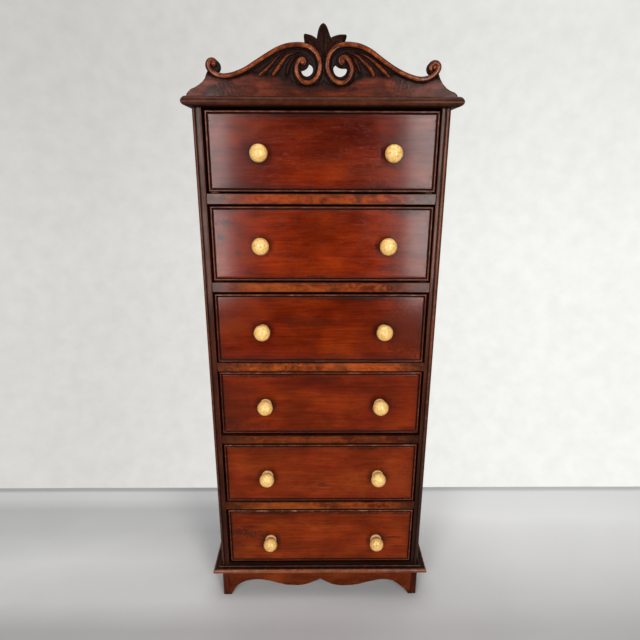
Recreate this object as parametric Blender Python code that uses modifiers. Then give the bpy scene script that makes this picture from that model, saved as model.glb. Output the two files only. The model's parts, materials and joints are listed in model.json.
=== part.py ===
"""Miniature six-drawer tall chest with turned knobs and a carved, pierced crest.

Metres, +Z up. The drawers face -Y, the floor is Z = 0 and X = 0 is the middle of the case.
Y = 0 is halfway between the knobs and the back, so FRONT is where the front of the case lies.
"""

import math

import bmesh
import bpy
from mathutils import Vector

CM = 0.01
GAP = 0.0003

# Case
CASE_WIDTH = 0.285
CASE_DEPTH = 0.180
CASE_SIDE = 0.0105
CASE_BOTTOM = 0.0540
CASE_TOP = 0.6700
OPENING_HALF = CASE_WIDTH / 2 - CASE_SIDE
KNOB_REACH = 0.0194
FRONT = -(CASE_DEPTH - KNOB_REACH) / 2
REAR = FRONT + CASE_DEPTH
BACK_PANEL = 0.005
STILE_DEPTH = 0.0050
HOUSING = 0.0030
BOTTOM_BOARD = 0.0040

# Dividers between the drawers, from the lowest rail up
RAIL_HEIGHT = 0.0118
RAIL_PITCH = 0.1043
FIRST_RAIL = 0.1558

# Cornice board and base board: (inset from the outermost edge, height) down the nosing
CORNICE_SIDE = 0.0095
CORNICE_FRONT = 0.0125
CORNICE_SHIFT = 0.0009
CORNICE_NOSING = (
    (0.0068, 0.6703),
    (0.0038, 0.6708),
    (0.0015, 0.6720),
    (0.0003, 0.6737),
    (0.0000, 0.6754),
    (0.0004, 0.6773),
    (0.0016, 0.6791),
    (0.0032, 0.6804),
    (0.0048, 0.6810),
)
BASE_SIDE = 0.0112
BASE_FRONT = 0.0105
BASE_NOSING = (
    (0.0034, 0.0469),
    (0.0017, 0.04735),
    (0.00045, 0.0486),
    (0.0000, 0.0503),
    (0.00045, 0.0520),
    (0.0017, 0.05325),
    (0.0034, 0.0537),
)

# Bracket feet and aprons
APRON_TOP = 0.0466
APRON_THICK = 0.0085
FRONT_APRON_THICK = 0.0090
FRONT_SCALLOP = (
    (-13.12, 0.00),
    (-12.85, 0.62),
    (-12.35, 1.50),
    (-11.34, 2.27),
    (-10.34, 2.64),
    (-9.13, 2.76),
    (-7.92, 2.58),
    (-6.70, 2.25),
    (-5.48, 1.86),
    (-4.29, 1.66),
    (-2.96, 1.66),
    (-1.80, 1.92),
    (-0.83, 2.36),
    (0.02, 2.82),
    (0.88, 2.34),
    (1.82, 1.80),
    (2.82, 1.59),
    (3.71, 1.57),
    (5.39, 1.74),
    (7.10, 2.22),
    (8.40, 2.58),
    (9.54, 2.68),
    (10.78, 2.39),
    (12.06, 1.38),
    (12.80, 0.60),
    (13.12, 0.00),
)
SCALLOP_CUSP = (0.02, 2.82)
SIDE_SCALLOP = (
    (1.25, 0.00),
    (1.60, 0.72),
    (2.20, 1.55),
    (3.30, 2.32),
    (4.60, 2.72),
    (6.40, 2.80),
    (9.00, 2.80),
    (11.60, 2.80),
    (13.40, 2.72),
    (14.70, 2.32),
    (15.80, 1.55),
    (16.40, 0.72),
    (16.75, 0.00),
)

# Drawers, top to bottom: front's top and bottom edge, sideways offset, knob's x left and right, knob's height
DRAWERS = (
    (0.66800, 0.58060, 0.0007, -0.0696, 0.0797, 0.6227),
    (0.56490, 0.47650, 0.0005, -0.0708, 0.0779, 0.5199),
    (0.46030, 0.37075, -0.0002, -0.0722, 0.0780, 0.4142),
    (0.35740, 0.26900, 0.0000, -0.0716, 0.0771, 0.3125),
    (0.25210, 0.16300, 0.0002, -0.0721, 0.0782, 0.2050),
    (0.14780, 0.05980, 0.0006, -0.0703, 0.0795, 0.0991),
)
DRAWER_HALF = 0.1300
DRAWER_RECESS = 0.0008
FRONT_THICK = 0.0110
BOX_HALF = 0.1288
BOX_SIDE = 0.0070
BOX_HEIGHT = 0.0800
BOX_END = 0.1690
DRAWER_BACK = 0.0070
DRAWER_BOTTOM = 0.0040
BOTTOM_LIFT = 0.0050
GROOVE_DEPTH = 0.0025

# Scratch bead round a drawer front: (inset from the edge, depth behind the bead's crest)
FRONT_BEAD = (
    (0.0000, 0.0016),
    (0.0003, 0.0008),
    (0.0009, 0.0002),
    (0.0016, 0.0000),
    (0.0022, 0.0003),
    (0.0027, 0.0010),
    (0.0030, 0.0016),
    (0.0036, 0.0016),
    (0.0040, 0.0003),
)

# Turned knob: a slightly flattened ball on a shank given as (distance out from the drawer front, radius)
BALL_RADIUS = 0.0101
BALL_HALF_DEPTH = 0.0081
BALL_CENTRE = 0.0124
KNOB_SHANK = (
    (0.0055, 0.0044),
    (0.0044, 0.0046),
    (0.0038, 0.0070),
    (0.0030, 0.0078),
    (0.0014, 0.0077),
    (0.0003, 0.0070),
    (0.0003, 0.0032),
    (-0.0080, 0.0032),
)
KNOB_STEPS = 18
TENON_HOLE = 0.0035

# Carved crest, in centimetres: x, and height above the cornice
CREST_FOOT = 0.6813
CREST_FACE = -0.0025
CREST_THICK = 0.0095
LEFT_END = (
    (-14.62, 0.00),
    (-14.56, 0.22),
    (-14.38, 0.40),
    (-14.08, 0.66),
    (-13.70, 0.80),
    (-13.26, 1.04),
    (-12.80, 1.36),
    (-12.48, 1.74),
    (-12.33, 2.20),
    (-12.15, 2.70),
    (-11.50, 2.80),
)
RIGHT_END = (
    (12.00, 2.75),
    (12.42, 2.65),
    (12.56, 2.22),
    (12.68, 1.76),
    (13.00, 1.27),
    (13.44, 0.83),
    (13.92, 0.56),
    (14.34, 0.42),
    (14.62, 0.20),
    (14.72, 0.00),
)
LEFT_SCROLL = (
    (-2.15, 3.58),
    (-2.50, 3.40),
    (-2.74, 2.94),
    (-2.76, 2.36),
    (-2.51, 1.79),
    (-2.04, 1.43),
    (-1.50, 1.32),
    (-0.97, 1.49),
    (-0.54, 1.90),
    (-0.28, 2.47),
    (-0.22, 3.05),
    (-0.33, 3.62),
    (-0.66, 4.22),
    (-1.28, 4.70),
    (-2.01, 4.92),
    (-2.85, 4.95),
    (-3.79, 4.83),
    (-4.85, 4.46),
    (-5.91, 3.90),
    (-6.99, 3.27),
    (-8.07, 2.64),
    (-9.15, 2.19),
    (-10.01, 2.03),
    (-10.85, 2.14),
    (-11.52, 2.49),
    (-11.92, 2.95),
    (-11.93, 3.28),
    (-11.66, 3.46),
)
RIGHT_SCROLL = (
    (2.28, 3.70),
    (2.60, 3.74),
    (2.93, 3.46),
    (3.15, 2.97),
    (3.18, 2.39),
    (2.93, 1.78),
    (2.42, 1.39),
    (1.87, 1.33),
    (1.28, 1.61),
    (0.84, 2.09),
    (0.59, 2.67),
    (0.57, 3.24),
    (0.72, 3.91),
    (1.08, 4.43),
    (1.66, 4.84),
    (2.39, 5.00),
    (3.23, 4.98),
    (4.07, 4.82),
    (5.03, 4.42),
    (5.90, 3.86),
    (6.76, 3.29),
    (7.64, 2.76),
    (8.51, 2.32),
    (9.39, 1.97),
    (10.26, 1.75),
    (11.12, 1.72),
    (11.84, 2.00),
    (12.32, 2.46),
    (12.44, 2.92),
    (12.20, 3.28),
)
# Which points of each scroll run along the crest's upper edge
LEFT_TOP_RUN = (14, 23)
RIGHT_TOP_RUN = (15, 25)
SCROLL_RADIUS = 0.25
SCROLL_EDGE = 0.17
VOLUTES = ((-11.50, 3.00, 0.72), (11.90, 2.92, 0.70))
CURL_BALLS = (
    (-2.04, 3.33, 0.33),
    (2.14, 3.40, 0.33),
    (-11.44, 3.30, 0.24),
    (11.92, 3.20, 0.24),
)
LEAF_TIPS = (
    (-1.80, 5.14),
    (-1.86, 5.56),
    (-1.89, 5.84),
    (-1.84, 5.97),
    (-1.70, 6.02),
    (-1.40, 5.97),
    (-1.08, 5.84),
    (-0.80, 5.70),
    (-0.52, 5.55),
    (-0.50, 5.80),
    (-0.43, 6.17),
    (-0.27, 6.57),
    (-0.09, 6.85),
    (0.11, 7.03),
    (0.29, 6.90),
    (0.46, 6.66),
    (0.67, 6.24),
    (0.80, 5.90),
    (0.92, 5.68),
    (1.27, 5.84),
    (1.65, 5.93),
    (2.05, 5.98),
    (2.38, 5.95),
    (2.54, 5.86),
    (2.46, 5.60),
    (2.35, 5.26),
)
# Each leaf: (x, height, half width) along its midrib from base to tip
LEAVES = (
    ((0.16, 2.60, 0.05), (0.15, 3.60, 0.16), (0.16, 4.60, 0.42), (0.17, 5.50, 0.60), (0.14, 6.20, 0.46),
     (0.12, 6.70, 0.22), (0.11, 6.95, 0.05)),
    ((-0.05, 3.90, 0.05), (-0.40, 4.70, 0.22), (-0.95, 5.30, 0.30), (-1.45, 5.66, 0.24), (-1.74, 5.86, 0.08)),
    ((0.38, 3.90, 0.05), (0.76, 4.70, 0.22), (1.35, 5.28, 0.30), (1.95, 5.62, 0.26), (2.36, 5.82, 0.08)),
)
LEAF_RIDGE = 0.22
# Raised fingers between the gouges: (x, height) from root to tip
FINGERS = (
    ((-4.70, 3.86), (-5.30, 3.22), (-5.95, 2.64), (-6.56, 2.14)),
    ((-2.95, 4.20), (-3.70, 3.94), (-4.35, 3.22), (-4.79, 2.64), (-5.15, 2.20)),
    ((-2.85, 3.82), (-3.29, 3.42), (-3.60, 2.84), (-3.72, 2.32)),
    ((3.26, 3.90), (3.62, 3.36), (3.88, 2.86), (4.02, 2.50)),
    ((3.00, 4.22), (3.78, 3.92), (4.43, 3.36), (5.09, 2.79), (5.50, 2.16)),
    ((4.25, 4.12), (5.05, 3.74), (5.92, 3.08), (6.59, 2.50), (7.14, 1.98)),
)
FINGER_ROOT = 0.10
FINGER_TIP = 0.20
PIERCINGS = (
    ((-1.39, 3.14), (-1.10, 2.97), (-0.97, 2.70), (-1.00, 2.35), (-1.20, 2.06), (-1.60, 1.88),
     (-2.02, 2.02), (-2.25, 2.44), (-1.85, 2.58), (-1.56, 2.80)),
    ((1.46, 3.05), (1.70, 2.86), (2.10, 2.73), (2.66, 2.70), (2.66, 2.38), (2.42, 2.04),
     (1.96, 1.85), (1.48, 2.02), (1.24, 2.46), (1.26, 2.82)),
)

MAHOGANY = (0.155, 0.040, 0.020)
DARK_MAHOGANY = (0.090, 0.024, 0.014)
CARVED = (0.110, 0.028, 0.016)
DEAL = (0.420, 0.270, 0.140)
BOXWOOD = (0.760, 0.560, 0.260)


def clear_scene():
    for obj in list(bpy.data.objects):
        bpy.data.objects.remove(obj, do_unlink=True)


def add_collection(name, helper=False):
    made = bpy.data.collections.new(name)
    bpy.context.scene.collection.children.link(made)
    made.hide_render = helper
    return made


def add_material(name, colour, roughness):
    made = bpy.data.materials.new(name)
    made.use_nodes = True
    shader = made.node_tree.nodes["Principled BSDF"]
    shader.inputs["Base Color"].default_value = (*colour, 1.0)
    shader.inputs["Roughness"].default_value = roughness
    made.diffuse_color = (*colour, 1.0)
    return made


def object_from(name, mesh, colour=None, roughness=0.4, helper=False):
    made = bpy.data.objects.new(name, mesh)
    if helper:
        HELPERS.objects.link(made)
        made.hide_render = True
        made.display_type = "WIRE"
    else:
        PARTS.objects.link(made)
        mesh.materials.append(add_material(name, colour, roughness))
    return made


def mesh_from(name, points, faces):
    """A closed mesh with its faces turned outward."""
    mesh = bpy.data.meshes.new(name)
    mesh.from_pydata([Vector(point) for point in points], [], faces)
    built = bmesh.new()
    built.from_mesh(mesh)
    bmesh.ops.recalc_face_normals(built, faces=built.faces)
    if built.calc_volume(signed=True) < 0:
        bmesh.ops.reverse_faces(built, faces=built.faces)
    built.to_mesh(mesh)
    built.free()
    return mesh


def prism_mesh(name, outline, axis, low, high):
    """An outline in the two other axes, in X Y Z order, pushed along one axis from low to high."""
    points = []
    for level in (low, high):
        for a, b in outline:
            point = {"X": (level, a, b), "Y": (a, level, b), "Z": (a, b, level)}[axis]
            points.append(point)
    count = len(outline)
    faces = [tuple(range(count)), tuple(range(count, 2 * count))]
    for i in range(count):
        j = (i + 1) % count
        faces.append((i, j, count + j, count + i))
    return mesh_from(name, points, faces)


def soften(obj, width):
    """A small worn bevel on a board's edges."""
    bevel = obj.modifiers.new("worn_edges", "BEVEL")
    bevel.width = width
    bevel.segments = 1
    bevel.limit_method = "ANGLE"
    bevel.angle_limit = math.radians(50)


def board(name, low, high, colour, roughness=0.45, edge=0.0004):
    bpy.ops.mesh.primitive_cube_add(size=1)
    made = bpy.context.object
    made.name = name
    made.data.name = name
    for owner in list(made.users_collection):
        owner.objects.unlink(made)
    PARTS.objects.link(made)
    centre = [(a + b) / 2 for a, b in zip(low, high)]
    size = [b - a for a, b in zip(low, high)]
    for vertex in made.data.vertices:
        vertex.co = Vector([c + v * s for c, v, s in zip(centre, vertex.co, size)])
    made.data.materials.append(add_material(name, colour, roughness))
    soften(made, edge)
    return made


def smooth_line(points, steps=3):
    """A curve through the points, as straight steps."""
    line = []
    last = len(points) - 1
    for i in range(last):
        before = points[max(i - 1, 0)]
        start = points[i]
        end = points[i + 1]
        after = points[min(i + 2, last)]
        for k in range(steps):
            t = k / steps
            line.append(tuple(catmull(before[c], start[c], end[c], after[c], t) for c in (0, 1)))
    line.append(points[last])
    return line


def catmull(a, b, c, d, t):
    first = 2 * b + (c - a) * t
    second = (2 * a - 5 * b + 4 * c - d) * t * t
    third = (3 * b - a - 3 * c + d) * t * t * t
    return (first + second + third) / 2


def cut(obj, cutter, name="cut"):
    boolean = obj.modifiers.new(name, "BOOLEAN")
    boolean.operation = "DIFFERENCE"
    boolean.solver = "EXACT"
    boolean.object = cutter


def join(obj, other, name="join"):
    boolean = obj.modifiers.new(name, "BOOLEAN")
    boolean.operation = "UNION"
    boolean.solver = "EXACT"
    boolean.object = other


def rail_middles():
    return [FIRST_RAIL + i * RAIL_PITCH for i in range(5)]


def opening_floors():
    """Where each drawer slides, top drawer first."""
    floors = [CASE_BOTTOM + BOTTOM_BOARD]
    floors += [middle + RAIL_HEIGHT / 2 for middle in rail_middles()]
    return floors[::-1]


def side_panel(name, side):
    """A case side, with a housing cut along it for each divider and a rebate for the bottom."""
    inner = OPENING_HALF
    deep = inner + HOUSING
    outer = CASE_WIDTH / 2
    outline = [(outer, CASE_BOTTOM), (deep, CASE_BOTTOM)]
    outline += [(deep, CASE_BOTTOM + BOTTOM_BOARD + GAP), (inner, CASE_BOTTOM + BOTTOM_BOARD + GAP)]
    for middle in rail_middles():
        low = middle - RAIL_HEIGHT / 2 - GAP
        high = middle + RAIL_HEIGHT / 2 + GAP
        outline += [(inner, low), (deep, low), (deep, high), (inner, high)]
    outline += [(inner, CASE_TOP), (outer, CASE_TOP)]
    outline = [(side * x, z) for x, z in outline]
    mesh = prism_mesh(name, outline, "Y", FRONT + STILE_DEPTH + GAP, REAR)
    return object_from(name, mesh, MAHOGANY)


def stile(name, side):
    """The moulded strip on a side's front edge, with a bead worked along the outer corner."""
    inner = OPENING_HALF
    outer = CASE_WIDTH / 2
    outline = [(inner, 0.0003), (inner + 0.0003, 0.0), (outer - 0.0045, 0.0), (outer - 0.0041, 0.0011)]
    outline += [(outer - 0.0037, 0.0011), (outer - 0.0031, 0.0003), (outer - 0.0022, 0.0)]
    outline += [(outer - 0.0011, 0.0003), (outer - 0.0003, 0.0010), (outer, 0.0020)]
    outline += [(outer, STILE_DEPTH), (inner, STILE_DEPTH)]
    outline = [(side * x, FRONT + y) for x, y in outline]
    mesh = prism_mesh(name, outline, "Z", CASE_BOTTOM, CASE_TOP)
    return object_from(name, mesh, DARK_MAHOGANY)


def shelf_outline():
    """A divider from above: full width in the side housings, narrower between the stiles."""
    wide = OPENING_HALF + HOUSING - GAP
    narrow = OPENING_HALF - GAP
    step = FRONT + STILE_DEPTH + 2 * GAP
    end = REAR - BACK_PANEL - GAP
    half = [(narrow, FRONT), (narrow, step), (wide, step), (wide, end)]
    return half + [(-x, y) for x, y in half[::-1]]


def divider(name, middle):
    low = middle - RAIL_HEIGHT / 2
    high = middle + RAIL_HEIGHT / 2
    made = object_from(name, prism_mesh(name, shelf_outline(), "Z", low, high), MAHOGANY)
    soften(made, 0.0004)
    return made


def nosed_board(name, rings, side_reach, front_reach, shift, colour):
    """A board with a nosing worked along its front and both ends, square at the back."""
    half = CASE_WIDTH / 2 + side_reach
    front = FRONT - front_reach
    points = []
    for inset, level in rings:
        left, right = shift - half + inset, shift + half - inset
        points += [(left, front + inset, level), (right, front + inset, level)]
        points += [(right, REAR, level), (left, REAR, level)]
    faces = [(0, 1, 2, 3), tuple(range(len(points) - 4, len(points)))]
    for ring in range(len(rings) - 1):
        for i in range(4):
            j = (i + 1) % 4
            a = ring * 4
            faces.append((a + i, a + j, a + 4 + j, a + 4 + i))
    return object_from(name, mesh_from(name, points, faces), colour)


def front_apron():
    inner = CASE_WIDTH / 2 - APRON_THICK - GAP
    cusp = FRONT_SCALLOP.index(SCALLOP_CUSP)
    edge = smooth_line(FRONT_SCALLOP[: cusp + 1]) + smooth_line(FRONT_SCALLOP[cusp:])[1:]
    outline = [(-inner, APRON_TOP), (-inner, 0.0)]
    outline += [(x * CM, z * CM) for x, z in edge]
    outline += [(inner, 0.0), (inner, APRON_TOP)]
    front = FRONT + 0.0002
    mesh = prism_mesh("apron_front", outline, "Y", front, front + FRONT_APRON_THICK)
    return object_from("apron_front", mesh, DARK_MAHOGANY)


def side_apron(name, side):
    outer = side * CASE_WIDTH / 2
    inner = side * (CASE_WIDTH / 2 - APRON_THICK)
    edge = smooth_line(SIDE_SCALLOP)
    outline = [(FRONT, APRON_TOP), (FRONT, 0.0)]
    outline += [(FRONT + y * CM, z * CM) for y, z in edge]
    outline += [(REAR, 0.0), (REAR, APRON_TOP)]
    mesh = prism_mesh(name, outline, "X", min(inner, outer), max(inner, outer))
    return object_from(name, mesh, DARK_MAHOGANY)


def build_case():
    side_panel("side_panel_left", -1)
    side_panel("side_panel_right", 1)
    stile("stile_left", -1)
    stile("stile_right", 1)
    half = OPENING_HALF - GAP
    board("back_panel", (-half, REAR - BACK_PANEL, CASE_BOTTOM), (half, REAR, CASE_TOP), DEAL, 0.6)
    low = CASE_BOTTOM
    mesh = prism_mesh("bottom_board", shelf_outline(), "Z", low, low + BOTTOM_BOARD)
    object_from("bottom_board", mesh, MAHOGANY)
    for number, middle in enumerate(rail_middles()[::-1], 1):
        divider(f"divider_{number}", middle)
    nosed_board("cornice_board", CORNICE_NOSING, CORNICE_SIDE, CORNICE_FRONT, CORNICE_SHIFT, DARK_MAHOGANY)
    nosed_board("base_board", BASE_NOSING, BASE_SIDE, BASE_FRONT, 0.0, DARK_MAHOGANY)
    front_apron()
    side_apron("apron_left", -1)
    side_apron("apron_right", 1)


def offset_line(points, distance):
    """The line moved sideways, to its left as it is followed."""
    moved = []
    for i, (x, z) in enumerate(points):
        ahead = points[min(i + 1, len(points) - 1)]
        behind = points[max(i - 1, 0)]
        dx = ahead[0] - behind[0]
        dz = ahead[1] - behind[1]
        length = math.hypot(dx, dz)
        moved.append((x - dz / length * distance, z + dx / length * distance))
    return moved


def crest_point(x, z, y=0.0):
    """Crest centimetres to metres in the room; y is counted back from the crest's face."""
    return (x * CM, FRONT + CREST_FACE + y * CM, CREST_FOOT + z * CM)


def crest_outline():
    left = offset_line(smooth_line(LEFT_SCROLL[LEFT_TOP_RUN[0] : LEFT_TOP_RUN[1]][::-1], 2), SCROLL_EDGE)
    right = offset_line(smooth_line(RIGHT_SCROLL[RIGHT_TOP_RUN[0] : RIGHT_TOP_RUN[1]], 2), SCROLL_EDGE)
    outline = list(LEFT_END) + left + list(LEAF_TIPS) + right + list(RIGHT_END)
    return [(x * CM, CREST_FOOT + z * CM) for x, z in outline]


def tube(name, points, radii):
    """A round bar along a smooth path on the crest's face."""
    curve = bpy.data.curves.new(name, "CURVE")
    curve.dimensions = "3D"
    curve.resolution_u = 2
    curve.bevel_depth = CM
    curve.bevel_resolution = 3
    curve.use_fill_caps = True
    line = curve.splines.new("BEZIER")
    line.bezier_points.add(len(points) - 1)
    for knot, (x, z, y), radius in zip(line.bezier_points, points, radii):
        knot.co = crest_point(x, z, y)
        knot.radius = radius
        knot.handle_left_type = "AUTO"
        knot.handle_right_type = "AUTO"
    guide = bpy.data.objects.new(name + "_path", curve)
    HELPERS.objects.link(guide)
    guide.hide_render = True
    bpy.context.view_layer.update()
    graph = bpy.context.evaluated_depsgraph_get()
    mesh = bpy.data.meshes.new_from_object(guide.evaluated_get(graph))
    mesh.name = name
    bpy.data.objects.remove(guide, do_unlink=True)
    built = bmesh.new()
    built.from_mesh(mesh)
    bmesh.ops.remove_doubles(built, verts=built.verts, dist=0.00001)
    bmesh.ops.recalc_face_normals(built, faces=built.faces)
    if built.calc_volume(signed=True) < 0:
        bmesh.ops.reverse_faces(built, faces=built.faces)
    built.to_mesh(mesh)
    built.free()
    return object_from(name, mesh, helper=True)


def scroll_bar(name, points):
    count = len(points)
    radii = []
    for i in range(count):
        share = i / (count - 1)
        swell = 0.05 * math.exp(-(((share - 0.80) / 0.12) ** 2))
        radii.append(SCROLL_RADIUS - 0.02 + swell - 0.05 * max(0.0, share - 0.9) * 10)
    radii[0] = SCROLL_RADIUS * 0.8
    return tube(name, [(x, z, 0.0) for x, z in points], radii)


def finger(name, points):
    count = len(points)
    radii = [FINGER_ROOT + (FINGER_TIP - FINGER_ROOT) * i / (count - 1) for i in range(count)]
    return tube(name, [(x, z, 0.06) for x, z in points], radii)


def ball(name, x, z, radius):
    bpy.ops.mesh.primitive_uv_sphere_add(segments=12, ring_count=8, radius=radius * CM)
    made = bpy.context.object
    made.name = name
    made.location = crest_point(x, z)
    for owner in list(made.users_collection):
        owner.objects.unlink(made)
    HELPERS.objects.link(made)
    made.hide_render = True
    made.display_type = "WIRE"
    return made


def disc(name, x, z, radius):
    """The round ground of an end volute, as thick as the board."""
    outline = []
    for i in range(24):
        turn = 2 * math.pi * (i + 0.5) / 24
        outline.append(((x + radius * math.cos(turn)) * CM, CREST_FOOT + (z + radius * math.sin(turn)) * CM))
    front = FRONT + CREST_FACE
    mesh = prism_mesh(name, outline, "Y", front + 0.0003, front + CREST_THICK - 0.0003)
    return object_from(name, mesh, helper=True)


def leaf(name, ribs):
    """A leaf with a raised midrib, its underside sunk in the board."""
    points = []
    for i, (x, z, half) in enumerate(ribs):
        ahead = ribs[min(i + 1, len(ribs) - 1)]
        behind = ribs[max(i - 1, 0)]
        length = math.hypot(ahead[0] - behind[0], ahead[1] - behind[1])
        across = ((ahead[1] - behind[1]) / length * half, -(ahead[0] - behind[0]) / length * half)
        rise = LEAF_RIDGE * min(1.0, half / 0.3)
        points.append(crest_point(x - across[0], z - across[1], -0.02))
        points.append(crest_point(x, z, -0.03 - rise))
        points.append(crest_point(x + across[0], z + across[1], -0.02))
        points.append(crest_point(x + across[0], z + across[1], 0.30))
        points.append(crest_point(x - across[0], z - across[1], 0.30))
    faces = [(0, 1, 2, 3, 4), tuple(range(len(points) - 5, len(points)))]
    for k in range(len(ribs) - 1):
        for i in range(5):
            j = (i + 1) % 5
            faces.append((k * 5 + i, k * 5 + j, k * 5 + 5 + j, k * 5 + 5 + i))
    return object_from(name, mesh_from(name, points, faces), helper=True)


def build_crest():
    front = FRONT + CREST_FACE
    mesh = prism_mesh("crest_board", crest_outline(), "Y", front, front + CREST_THICK)
    crest = object_from("crest_board", mesh, CARVED)
    for number, (x, z, radius) in enumerate(VOLUTES, 1):
        join(crest, disc(f"volute_{number}", x, z, radius))
    for number, outline in enumerate(PIERCINGS, 1):
        hole = [(x * CM, CREST_FOOT + z * CM) for x, z in outline]
        cutter = prism_mesh(f"piercing_{number}", hole, "Y", front - 0.004, front + CREST_THICK + 0.004)
        cut(crest, object_from(f"piercing_{number}", cutter, helper=True))
    join(crest, scroll_bar("scroll_left", LEFT_SCROLL))
    join(crest, scroll_bar("scroll_right", RIGHT_SCROLL))
    for number, (x, z, radius) in enumerate(CURL_BALLS, 1):
        join(crest, ball(f"curl_{number}", x, z, radius))
    for number, ribs in enumerate(LEAVES, 1):
        join(crest, leaf(f"leaf_{number}", ribs))
    for number, points in enumerate(FINGERS, 1):
        join(crest, finger(f"finger_{number}", points))


def drawer_front(name, middle, top, bottom, face, knobs):
    """A front with a scratch bead round its edge and a hole for each knob's tenon."""
    points = []
    rings = [(0.0, FRONT_THICK)] + list(FRONT_BEAD)
    for inset, depth in rings:
        for x, z in ((-1, 0), (1, 0), (1, 1), (-1, 1)):
            level = top - inset if z else bottom + inset
            points.append((middle + x * (DRAWER_HALF - inset), face + depth, level))
    faces = [(0, 1, 2, 3), tuple(range(len(points) - 4, len(points)))]
    for ring in range(len(rings) - 1):
        for i in range(4):
            j = (i + 1) % 4
            a = ring * 4
            faces.append((a + i, a + j, a + 4 + j, a + 4 + i))
    made = object_from(name, mesh_from(name, points, faces), MAHOGANY, 0.3)
    for number, (x, z) in enumerate(knobs, 1):
        outline = []
        for i in range(16):
            turn = 2 * math.pi * i / 16
            outline.append((x + TENON_HOLE * math.cos(turn), z + TENON_HOLE * math.sin(turn)))
        cutter = prism_mesh(f"{name}_hole_{number}", outline, "Y", face - 0.002, face + FRONT_THICK + 0.002)
        cut(made, object_from(f"{name}_hole_{number}", cutter, helper=True), f"hole_{number}")
    return made


def knob_profile():
    """From the ball's outer pole down to the end of the tenon, as (radius, distance out)."""
    profile = []
    for i in range(9):
        turn = math.radians(2 + 20.0 * i)
        if turn > math.radians(154):
            break
        radius = 0.0 if i == 0 else BALL_RADIUS * math.sin(turn)
        out = BALL_HALF_DEPTH if i == 0 else BALL_HALF_DEPTH * math.cos(turn)
        profile.append((radius, BALL_CENTRE + out))
    profile += [(radius, out) for out, radius in KNOB_SHANK]
    profile.append((0.0, KNOB_SHANK[-1][0]))
    return profile


def knob(name, x, face, z):
    profile = knob_profile()
    mesh = bpy.data.meshes.new(name)
    edges = [(i, i + 1) for i in range(len(profile) - 1)]
    mesh.from_pydata([(radius, 0.0, out) for radius, out in profile], edges, [])
    made = object_from(name, mesh, BOXWOOD, 0.3)
    made.location = (x, face, z)
    made.rotation_euler = (math.radians(90), 0, 0)
    turned = made.modifiers.new("turned", "SCREW")
    turned.axis = "Z"
    turned.steps = KNOB_STEPS
    turned.render_steps = KNOB_STEPS
    turned.use_merge_vertices = True
    turned.merge_threshold = 0.00001
    turned.use_normal_calculate = True
    return made


def box_side(name, middle, side, floor, start, end):
    """A drawer side, grooved along its inner face for the bottom."""
    outer = BOX_HALF
    inner = BOX_HALF - BOX_SIDE
    groove = inner + GROOVE_DEPTH
    low = floor + BOTTOM_LIFT - GAP
    high = low + DRAWER_BOTTOM + 2 * GAP
    outline = [(outer, floor), (inner, floor), (inner, low), (groove, low), (groove, high), (inner, high)]
    outline += [(inner, floor + BOX_HEIGHT), (outer, floor + BOX_HEIGHT)]
    outline = [(middle + side * x, z) for x, z in outline]
    return object_from(name, prism_mesh(name, outline, "Y", start, end), DEAL, 0.6)


def build_drawer(number, top, bottom, middle, knob_left, knob_right, knob_height, floor):
    name = f"drawer_{number}"
    face = FRONT + DRAWER_RECESS
    start = face + FRONT_THICK + GAP
    end = FRONT + BOX_END
    rest = floor + GAP
    inner = BOX_HALF - BOX_SIDE
    knobs = ((knob_left, knob_height), (knob_right, knob_height))
    pieces = [drawer_front(f"{name}_front", middle, top, bottom, face, knobs)]
    pieces.append(box_side(f"{name}_side_left", middle, -1, rest, start, end))
    pieces.append(box_side(f"{name}_side_right", middle, 1, rest, start, end))
    low = rest + BOTTOM_LIFT
    high = low + DRAWER_BOTTOM
    half = inner + GROOVE_DEPTH - GAP
    pieces.append(
        board(f"{name}_bottom", (middle - half, start, low), (middle + half, end, high), DEAL, 0.6, 0.0002)
    )
    half = inner - GAP
    lowest = (middle - half, end - DRAWER_BACK, high + GAP)
    highest = (middle + half, end, rest + BOX_HEIGHT - 0.003)
    pieces.append(board(f"{name}_back", lowest, highest, DEAL, 0.6))
    seat = face + FRONT_BEAD[-1][1]
    pieces.append(knob(f"{name}_knob_left", knob_left, seat, knob_height))
    pieces.append(knob(f"{name}_knob_right", knob_right, seat, knob_height))
    slide = bpy.data.objects.new(f"{name}_slide", None)
    slide.location = (middle, FRONT, rest)
    PARTS.objects.link(slide)
    bpy.context.view_layer.update()
    for piece in pieces:
        piece.parent = slide
        piece.matrix_parent_inverse = slide.matrix_world.inverted()


clear_scene()
PARTS = add_collection("miniature_chest_of_drawers")
HELPERS = add_collection("cutters_and_carving", helper=True)
build_case()
build_crest()
for index, (drawer, level) in enumerate(zip(DRAWERS, opening_floors()), 1):
    build_drawer(index, *drawer, level)
bpy.context.view_layer.update()
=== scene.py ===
"""Looks for the miniature chest of drawers: materials, turned knobs, moulded fronts and the carved crest.

Metres, +Z up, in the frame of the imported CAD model, which stays where it is.
"""

import json
import math

import bpy  # noqa: E402
import numpy as np  # noqa: E402
from mathutils import Matrix, Vector  # noqa: E402
from mathutils.geometry import tessellate_polygon  # noqa: E402

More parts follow.
